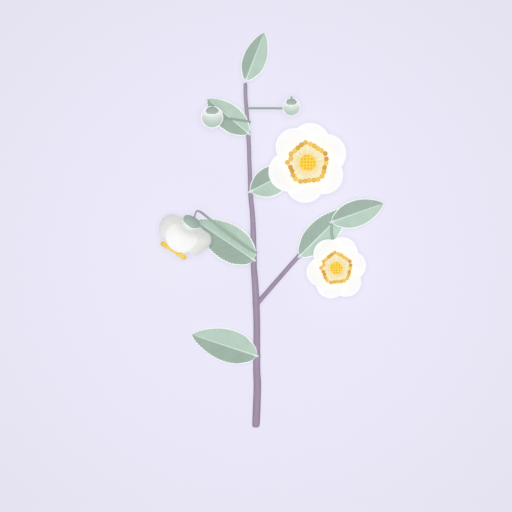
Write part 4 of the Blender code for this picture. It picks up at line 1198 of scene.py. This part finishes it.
def build_open_flowers(look):
    """The two open flowers."""
    petal = petal_material("tea_petal_white", look.petal_shade, look.petal_colour)
    skin = stalk_material("tea_flower_stalk_skin", look.stalk_colour)
    scales = calyx_material(look.calyx_colour, look.calyx_rim)
    threads = filament_material(look)
    pollen = pollen_material("tea_anther_pollen", look.anther_light, look.anther_dark,
                             look.anther_ripe)
    gold = pollen_material("tea_middle_anther_pollen", look.disc_colour, look.disc_shade,
                           look.dot_colour)
    for flower in OPEN_FLOWERS:
        name = flower["name"]
        nodes = [name + "_petals"]
        centre = Matrix.Translation(Vector((*flower["centre"], 0.0)) * MM)
        turned_place = centre @ Matrix.Rotation(math.radians(flower["turn"]), 4, "Z")
        build_open_calyx(flower, turned_place, skin, scales)
        base = turned(name + "_petal_base",
                      [(radius, flower["floor"] + height) for radius, height in PETAL_BASE], 4)
        finish_piece(base, [petal], nodes, turned_place)
        for index, (heading, reach) in enumerate(flower["petals"]):
            kind = PETAL_KINDS[index]
            piece = blade(f"{name}_petal_{index + 1}", *PETAL_GRID,
                          lambda along, across: open_petal_place(flower, heading, reach, kind,
                                                                 along, across),
                          look.petal_thickness)
            finish_piece(piece, [petal, petal], nodes, turned_place)
        nodes = [name + "_stamens"]
        build_ring(flower, look, centre, nodes, threads, pollen)
        build_disc(flower, centre, nodes, gold)


def nodding_frame():
    """Frame of the nodding flower: +Z from calyx to mouth, +Y up, origin at the calyx."""
    dip = math.radians(NOD_DIP)
    heading = math.radians(NOD_HEADING)
    axis = round_axis(heading, math.cos(dip), -math.sin(dip))
    side = round_axis(heading + math.pi / 2)
    turn = Matrix((side, axis.cross(side), axis)).transposed().to_4x4()
    return Matrix.Translation(Vector(NOD_CALYX) * MM) @ turn


def profile_point(profile, share):
    """Radius and distance of a profile at a share of its length, and its unit normal."""
    route = smooth_route([(*point, 0.0) for point in profile], STALK_STEPS)
    place = share * (len(route) - 1)
    index = min(int(place), len(route) - 2)
    point = route[index].lerp(route[index + 1], place - index)
    run = (route[index + 1] - route[index]).normalized()
    return point.x, point.y, Vector((-run.y, run.x))


def nodding_petal_place(heading, widest, kind, profile, along, across):
    """Point of a petal of the nodding flower in its frame."""
    share = 1.0 - (1.0 - along) ** 1.6
    radius, distance, normal = profile_point(profile, share)
    half = math.radians(petal_opening(share / 0.4, widest)) * (1.0 - share ** 5) ** 0.5
    turn = half * across
    lift = PETAL_STEP * edge_lift(kind, turn) + petal_relief(along, across)
    angle = math.radians(heading) + turn
    flare = sum(size * max(0.0, math.cos(angle - math.radians(toward))) ** 4
                for toward, size in NOD_FLARES) * math.sin(math.pi * share) ** 2
    radius += normal.x * lift + flare
    distance += normal.y * lift - flare * NOD_FLARE_PULL
    edge = min(radius * half * (1.0 - abs(across)), (1.0 - share) * 16.0)
    return round_axis(angle, radius, distance), petal_values(along, across, edge)


def lobed_cap(name, curve_radius, rim_radius, squash, thickness, place):
    """A five-lobed calyx: a cap of a sphere whose top is at +Z of its place, squashed along Y."""
    rim_angle = math.asin(rim_radius / curve_radius)

    def cap_place(along, around):
        angle = around * math.pi
        lobe = math.cos(SEPAL_COUNT * angle)
        polar = rim_angle * along * (1.0 + CALYX_LOBE * along ** 2 * lobe)
        polar *= 1.0 - squash * math.sin(angle) ** 2
        point = round_axis(angle, math.sin(polar), math.cos(polar))
        edge = curve_radius * rim_angle * (1.0 - along)
        return (point * (curve_radius + 0.05 * lobe * along),
                {"edge": edge, "body": thickness_share(edge, 0.3, 1.5)})

    piece = blade(name, *CAP_GRID, cap_place, thickness)
    piece.data.transform(place)
    return piece


def build_nodding_calyx(look, place):
    """Calyx of the nodding flower, and its long stalk, which hooks round to the calyx."""
    nodes = ["flower_c_calyx"]
    scales = calyx_material(look.calyx_colour, look.calyx_rim)
    skin = stalk_material("tea_long_stalk_skin", look.stalk_colour, look.stalk_end, (32.0, 38.0))
    tilt = Matrix.Rotation(math.radians(180.0 + NOD_CALYX_TILT), 4, "X")
    sagitta = math.sqrt(NOD_CALYX_CURVE ** 2 - NOD_CALYX_RADIUS ** 2)
    place = place @ tilt @ Matrix.Translation((0.0, 0.0, -sagitta * MM))
    cap = lobed_cap("flower_c_calyx_cap", NOD_CALYX_CURVE, NOD_CALYX_RADIUS, 0.0,
                    SEPAL_THICKNESS * MM, place)
    finish_piece(cap, [scales, scales], nodes)
    bend = math.radians(NOD_STALK_END_ANGLE)
    end = place @ (Vector((0.0, math.sin(bend), math.cos(bend))) * NOD_CALYX_CURVE * MM) / MM
    add_stalk("flower_c_stalk", [*NOD_STALK, (*end, NOD_STALK[-1][3])], skin, nodes)


def build_nodding_stamens(look, place):
    """Ring of anthers at the nodding flower's mouth, their filaments and the column inside."""
    nodes = ["flower_c_stamens"]
    threads = filament_material(look)
    pollen = pollen_material("tea_nodding_anther_pollen", look.bar_colour, look.bar_shade,
                             look.bar_shade)
    draw = random.Random(SEED + 1)
    dip = math.radians(NOD_DIP)
    beads, tone = new_shape("tone")
    hair, along = new_shape("along")
    for index in range(NOD_STAMENS):
        turn = math.radians(360.0 / NOD_STAMENS * index + draw.uniform(-3.0, 3.0))
        level = NOD_RING * math.sin(turn)
        # The ring stands upright, so it is tilted by the dip in the flower's own frame
        tip = Vector((NOD_RING * math.cos(turn), level * math.cos(dip),
                      NOD_RING_DISTANCE - level * math.sin(dip) + draw.uniform(-0.25, 0.25)))
        toward = round_axis(turn)
        size = NOD_ANTHER * min(1.0, NOD_ANTHER_LEAST + NOD_ANTHER_GROWTH * abs(math.cos(turn)))
        add_bead(beads, tone, tip, size, toward, draw.random(), 3)
        root = Vector((tip.x * 0.12, tip.y * 0.12, NOD_THREAD_ROOT))
        middle = (root + tip) / 2 + toward * 0.6
        for shift in (0.0, 0.25, -0.25):
            spread = Vector((-toward.y, toward.x, 0.0)) * shift
            add_thread(hair, along, [root + spread, middle + spread * 2, tip + spread * 2])
    finish_piece(new_object("flower_c_anthers", beads), [pollen], nodes, place)
    finish_piece(new_object("flower_c_filaments", hair), [threads], nodes, place)
    column = turned("flower_c_stamen_column", NOD_COLUMN, 5)
    finish_piece(column, [threads], nodes, place)


def build_nodding_flower(look):
    """Nodding flower: six petals, and its calyx, stalk and stamens."""
    # Painted shade: the back petals are a greyer copy of the white, and the front petal darkens
    # towards it at its sides
    front = petal_material("tea_petal_nodding_front", look.front_colour, look.front_tip,
                           (0.4, 0.72), look.shaded_tip)
    back = petal_material("tea_petal_nodding_shaded", look.shaded_colour, look.shaded_tip, (0.45, 0.75))
    nodes = ["flower_c_petals"]
    place = nodding_frame()
    for index, petal in enumerate(NOD_PETALS):
        piece = blade(f"flower_c_petal_{index + 1}", *PETAL_GRID,
                      lambda along, across: nodding_petal_place(*petal, along, across),
                      look.petal_thickness)
        shade = front if petal[3] is NOD_FRONT_PROFILE else back
        finish_piece(piece, [shade, shade], nodes, place)
    base = turned("flower_c_petal_base", NOD_PETAL_BASE, 4)
    finish_piece(base, [back], nodes, place)
    build_nodding_calyx(look, place)
    build_nodding_stamens(look, place)


def bud_petal_place(radius, heading, along, across):
    """Point of a petal wrapped round a bud, whose calyx is at +Z."""
    polar = math.radians(BUD_PETAL_START + BUD_PETAL_SPAN * along)
    half = math.radians(BUD_PETAL_HALF_ANGLE) * (0.75 + 0.25 * math.sin(math.pi * along))
    angle = math.radians(heading) + half * across + math.radians(BUD_PETAL_TWIST) * along
    # One side of each petal lies over the next one
    size = radius - 0.20 + BUD_PETAL_LAP * across + 0.03 * math.cos(across * 3.0)
    point = round_axis(angle, math.sin(polar), math.cos(polar)) * size
    edge = radius * math.sin(polar) * half * (1.0 - abs(across))
    # Down runs from 0 on the side towards +Y of the scene to 1 on the other side, and up is the
    # share of the height over the bud's middle
    tilt = math.radians(BUD_CALYX_TILT)
    down = 0.5 - 0.5 * (point.y * math.cos(tilt) + point.z * math.sin(tilt)) / radius
    up = (point.z * math.cos(tilt) - point.y * math.sin(tilt)) / radius
    return point, {"down": down, "up": up, "edge": edge,
                   "body": thickness_share(edge, 0.2, 1.2)}


def bud_stalk_route(bud):
    """Route of a bud's stalk, which hooks round its globe and narrows towards the calyx."""
    points = [Vector(point) for point in bud["route"]]
    clear = bud["radius"] + BUD_GAP + BUD_STALK_RADIUS
    for angle, extra in BUD_HOOK:
        turn = math.radians(angle)
        points.append(Vector(bud["centre"])
                      + Vector((0.0, math.sin(turn), math.cos(turn))) * (clear + extra))
    swell = BUD_STALK_RADIUS - BUD_NECK_RADIUS
    last = len(points) - 1
    return [(*point, BUD_NECK_RADIUS + swell * min(1.0, (last - index) / len(BUD_HOOK)))
            for index, point in enumerate(points)]


def build_buds(look, flower):
    """Closed buds: petals wrapped round each, lobed calyx, and a stalk that hooks round."""
    petals = bud_material(look)
    skin = stalk_material("tea_bud_stalk_skin", look.stalk_colour)
    scales = calyx_material(look.calyx_colour, flower.calyx_rim)
    for bud in BUDS:
        name, radius = bud["name"], bud["radius"]
        inside, outside = [name + "_petals"], [name + "_calyx"]
        tilt = Matrix.Rotation(math.radians(-BUD_CALYX_TILT), 4, "X")
        place = Matrix.Translation(Vector(bud["centre"]) * MM) @ tilt
        for index in range(look.petals):
            heading = 360.0 / look.petals * index
            piece = blade(f"{name}_petal_{index + 1}", *BUD_PETAL_GRID,
                          lambda along, across: bud_petal_place(radius, heading, along, across),
                          BUD_PETAL_THICKNESS * MM)
            finish_piece(piece, [petals, petals], inside, place)
        core = turned(name + "_core",
                      [(radius * 0.94 * math.sin(math.radians(angle)),
                        radius * 0.94 * math.cos(math.radians(angle)))
                       for angle in range(0, 181, 15)], 3)
        finish_piece(core, [petals], inside, place)
        cap = lobed_cap(name + "_calyx_cap", radius + BUD_GAP, bud["cap"], BUD_CALYX_SQUASH,
                        BUD_CAP_THICKNESS * MM, place)
        finish_piece(cap, [scales, scales], outside)
        add_stalk(name + "_stalk", bud_stalk_route(bud), skin, outside)


def floor_material(stage):
    """Matt lavender acrylic, cast and lit from below: even, with painted falloff from the middle.
    """
    material, shader, node = new_material("lit_lavender_acrylic", 0.9, 1.45, 0.1)
    place = node("TexCoord", output="Object")
    away = node("VectorMath", {"operation": "LENGTH", 0: place}, "Value")
    # Painted falloff of light: darker from 0.06 m to 0.22 m out
    share = node("MapRange", {"interpolation_type": "SMOOTHSTEP", "From Min": 0.06,
                              "From Max": 0.22, "Value": away})
    coloured = node("Mix", {"data_type": "RGBA", 0: share, 6: stage.floor_colour,
                            7: stage.falloff_colour}, 2)
    glow(node, shader, coloured, 0.73, 0.25)
    fine_bump(node, shader, place, 0.6 * MM, 0.01)
    return material


def build_stage(stage):
    """Floor, light from the ceiling and the room, and a camera that looks straight down."""
    scene = bpy.context.scene
    scene.view_settings.view_transform = "Standard"
    shape = bmesh.new()
    bmesh.ops.create_grid(shape, x_segments=8, y_segments=8, size=FLOOR_SIZE)
    floor = new_object("floor", shape)
    floor.location = (*VIEW_CENTRE, 0.0)
    floor.data.materials.append(floor_material(stage))

    world = bpy.data.worlds.new("soft_room")
    world.use_nodes = True
    background = world.node_tree.nodes["Background"]
    background.inputs["Color"].default_value = (1.0, 1.0, 1.0, 1.0)
    background.inputs["Strength"].default_value = stage.room_light
    scene.world = world

    lamp = bpy.data.lights.new("ceiling", "SUN")
    lamp.energy = stage.ceiling_light
    lamp.angle = math.radians(30.0)
    ceiling = bpy.data.objects.new("ceiling", lamp)
    scene.collection.objects.link(ceiling)

    camera = bpy.data.cameras.new("camera")
    camera.sensor_width = 36.0
    camera.lens = camera.sensor_width * stage.distance / stage.view_width
    camera.clip_end = 10.0
    eye = bpy.data.objects.new("camera", camera)
    eye.location = (*VIEW_CENTRE, stage.distance)
    scene.collection.objects.link(eye)
    scene.camera = eye


class BuildStem(bpy.types.Operator):
    """Build the woody stem and its side branch"""
    bl_idname = "tea_sprig.stem"
    bl_label = "Stem"

    def execute(self, context):
        build_stem(context.scene.tea_sprig_stem)
        return {"FINISHED"}


class BuildShoot(bpy.types.Operator):
    """Build the green young shoot"""
    bl_idname = "tea_sprig.shoot"
    bl_label = "Young shoot"

    def execute(self, context):
        build_shoot(context.scene.tea_sprig_flower)
        return {"FINISHED"}


class BuildLeaves(bpy.types.Operator):
    """Build the seven leaves"""
    bl_idname = "tea_sprig.leaves"
    bl_label = "Leaves"

    def execute(self, context):
        build_leaves(context.scene.tea_sprig_leaf)
        return {"FINISHED"}


class BuildOpenFlowers(bpy.types.Operator):
    """Build the two open flowers"""
    bl_idname = "tea_sprig.open_flowers"
    bl_label = "Open flowers"

    def execute(self, context):
        build_open_flowers(context.scene.tea_sprig_flower)
        return {"FINISHED"}


class BuildNoddingFlower(bpy.types.Operator):
    """Build the nodding flower on its long stalk"""
    bl_idname = "tea_sprig.nodding_flower"
    bl_label = "Nodding flower"

    def execute(self, context):
        build_nodding_flower(context.scene.tea_sprig_flower)
        return {"FINISHED"}


class BuildBuds(bpy.types.Operator):
    """Build the two closed buds"""
    bl_idname = "tea_sprig.buds"
    bl_label = "Buds"

    def execute(self, context):
        build_buds(context.scene.tea_sprig_bud, context.scene.tea_sprig_flower)
        return {"FINISHED"}


class BuildStage(bpy.types.Operator):
    """Build the floor, the light and the camera"""
    bl_idname = "tea_sprig.stage"
    bl_label = "Stage"

    def execute(self, context):
        build_stage(context.scene.tea_sprig_stage)
        return {"FINISHED"}


SETTINGS = {
    "tea_sprig_stem": StemSettings,
    "tea_sprig_leaf": LeafSettings,
    "tea_sprig_flower": FlowerSettings,
    "tea_sprig_bud": BudSettings,
    "tea_sprig_stage": StageSettings,
}
OPERATORS = [BuildStem, BuildShoot, BuildLeaves, BuildOpenFlowers, BuildNoddingFlower, BuildBuds,
             BuildStage]


class TeaSprigPanel(bpy.types.Panel):
    """Buttons that build the sprig, and its sizes and colours"""
    bl_idname = "VIEW3D_PT_tea_sprig"
    bl_label = "Tea sprig"
    bl_space_type = "VIEW_3D"
    bl_region_type = "UI"
    bl_category = "Tea sprig"

    def draw(self, context):
        layout = self.layout
        for operator in OPERATORS:
            layout.operator(operator.bl_idname)
        for name, settings in SETTINGS.items():
            box = layout.box()
            group = getattr(context.scene, name)
            for key in settings.__annotations__:
                box.prop(group, key)


def register():
    for settings in SETTINGS.values():
        bpy.utils.register_class(settings)
    for operator in OPERATORS:
        bpy.utils.register_class(operator)
    bpy.utils.register_class(TeaSprigPanel)
    for name, settings in SETTINGS.items():
        setattr(bpy.types.Scene, name, bpy.props.PointerProperty(type=settings))


def unregister():
    for name in SETTINGS:
        delattr(bpy.types.Scene, name)
    bpy.utils.unregister_class(TeaSprigPanel)
    for operator in reversed(OPERATORS):
        bpy.utils.unregister_class(operator)
    for settings in SETTINGS.values():
        bpy.utils.unregister_class(settings)


def main():
    register()
    bpy.ops.tea_sprig.stem()
    bpy.ops.tea_sprig.shoot()
    bpy.ops.tea_sprig.leaves()
    bpy.ops.tea_sprig.open_flowers()
    bpy.ops.tea_sprig.nodding_flower()
    bpy.ops.tea_sprig.buds()
    bpy.ops.tea_sprig.stage()


if __name__ == "__main__":
    main()
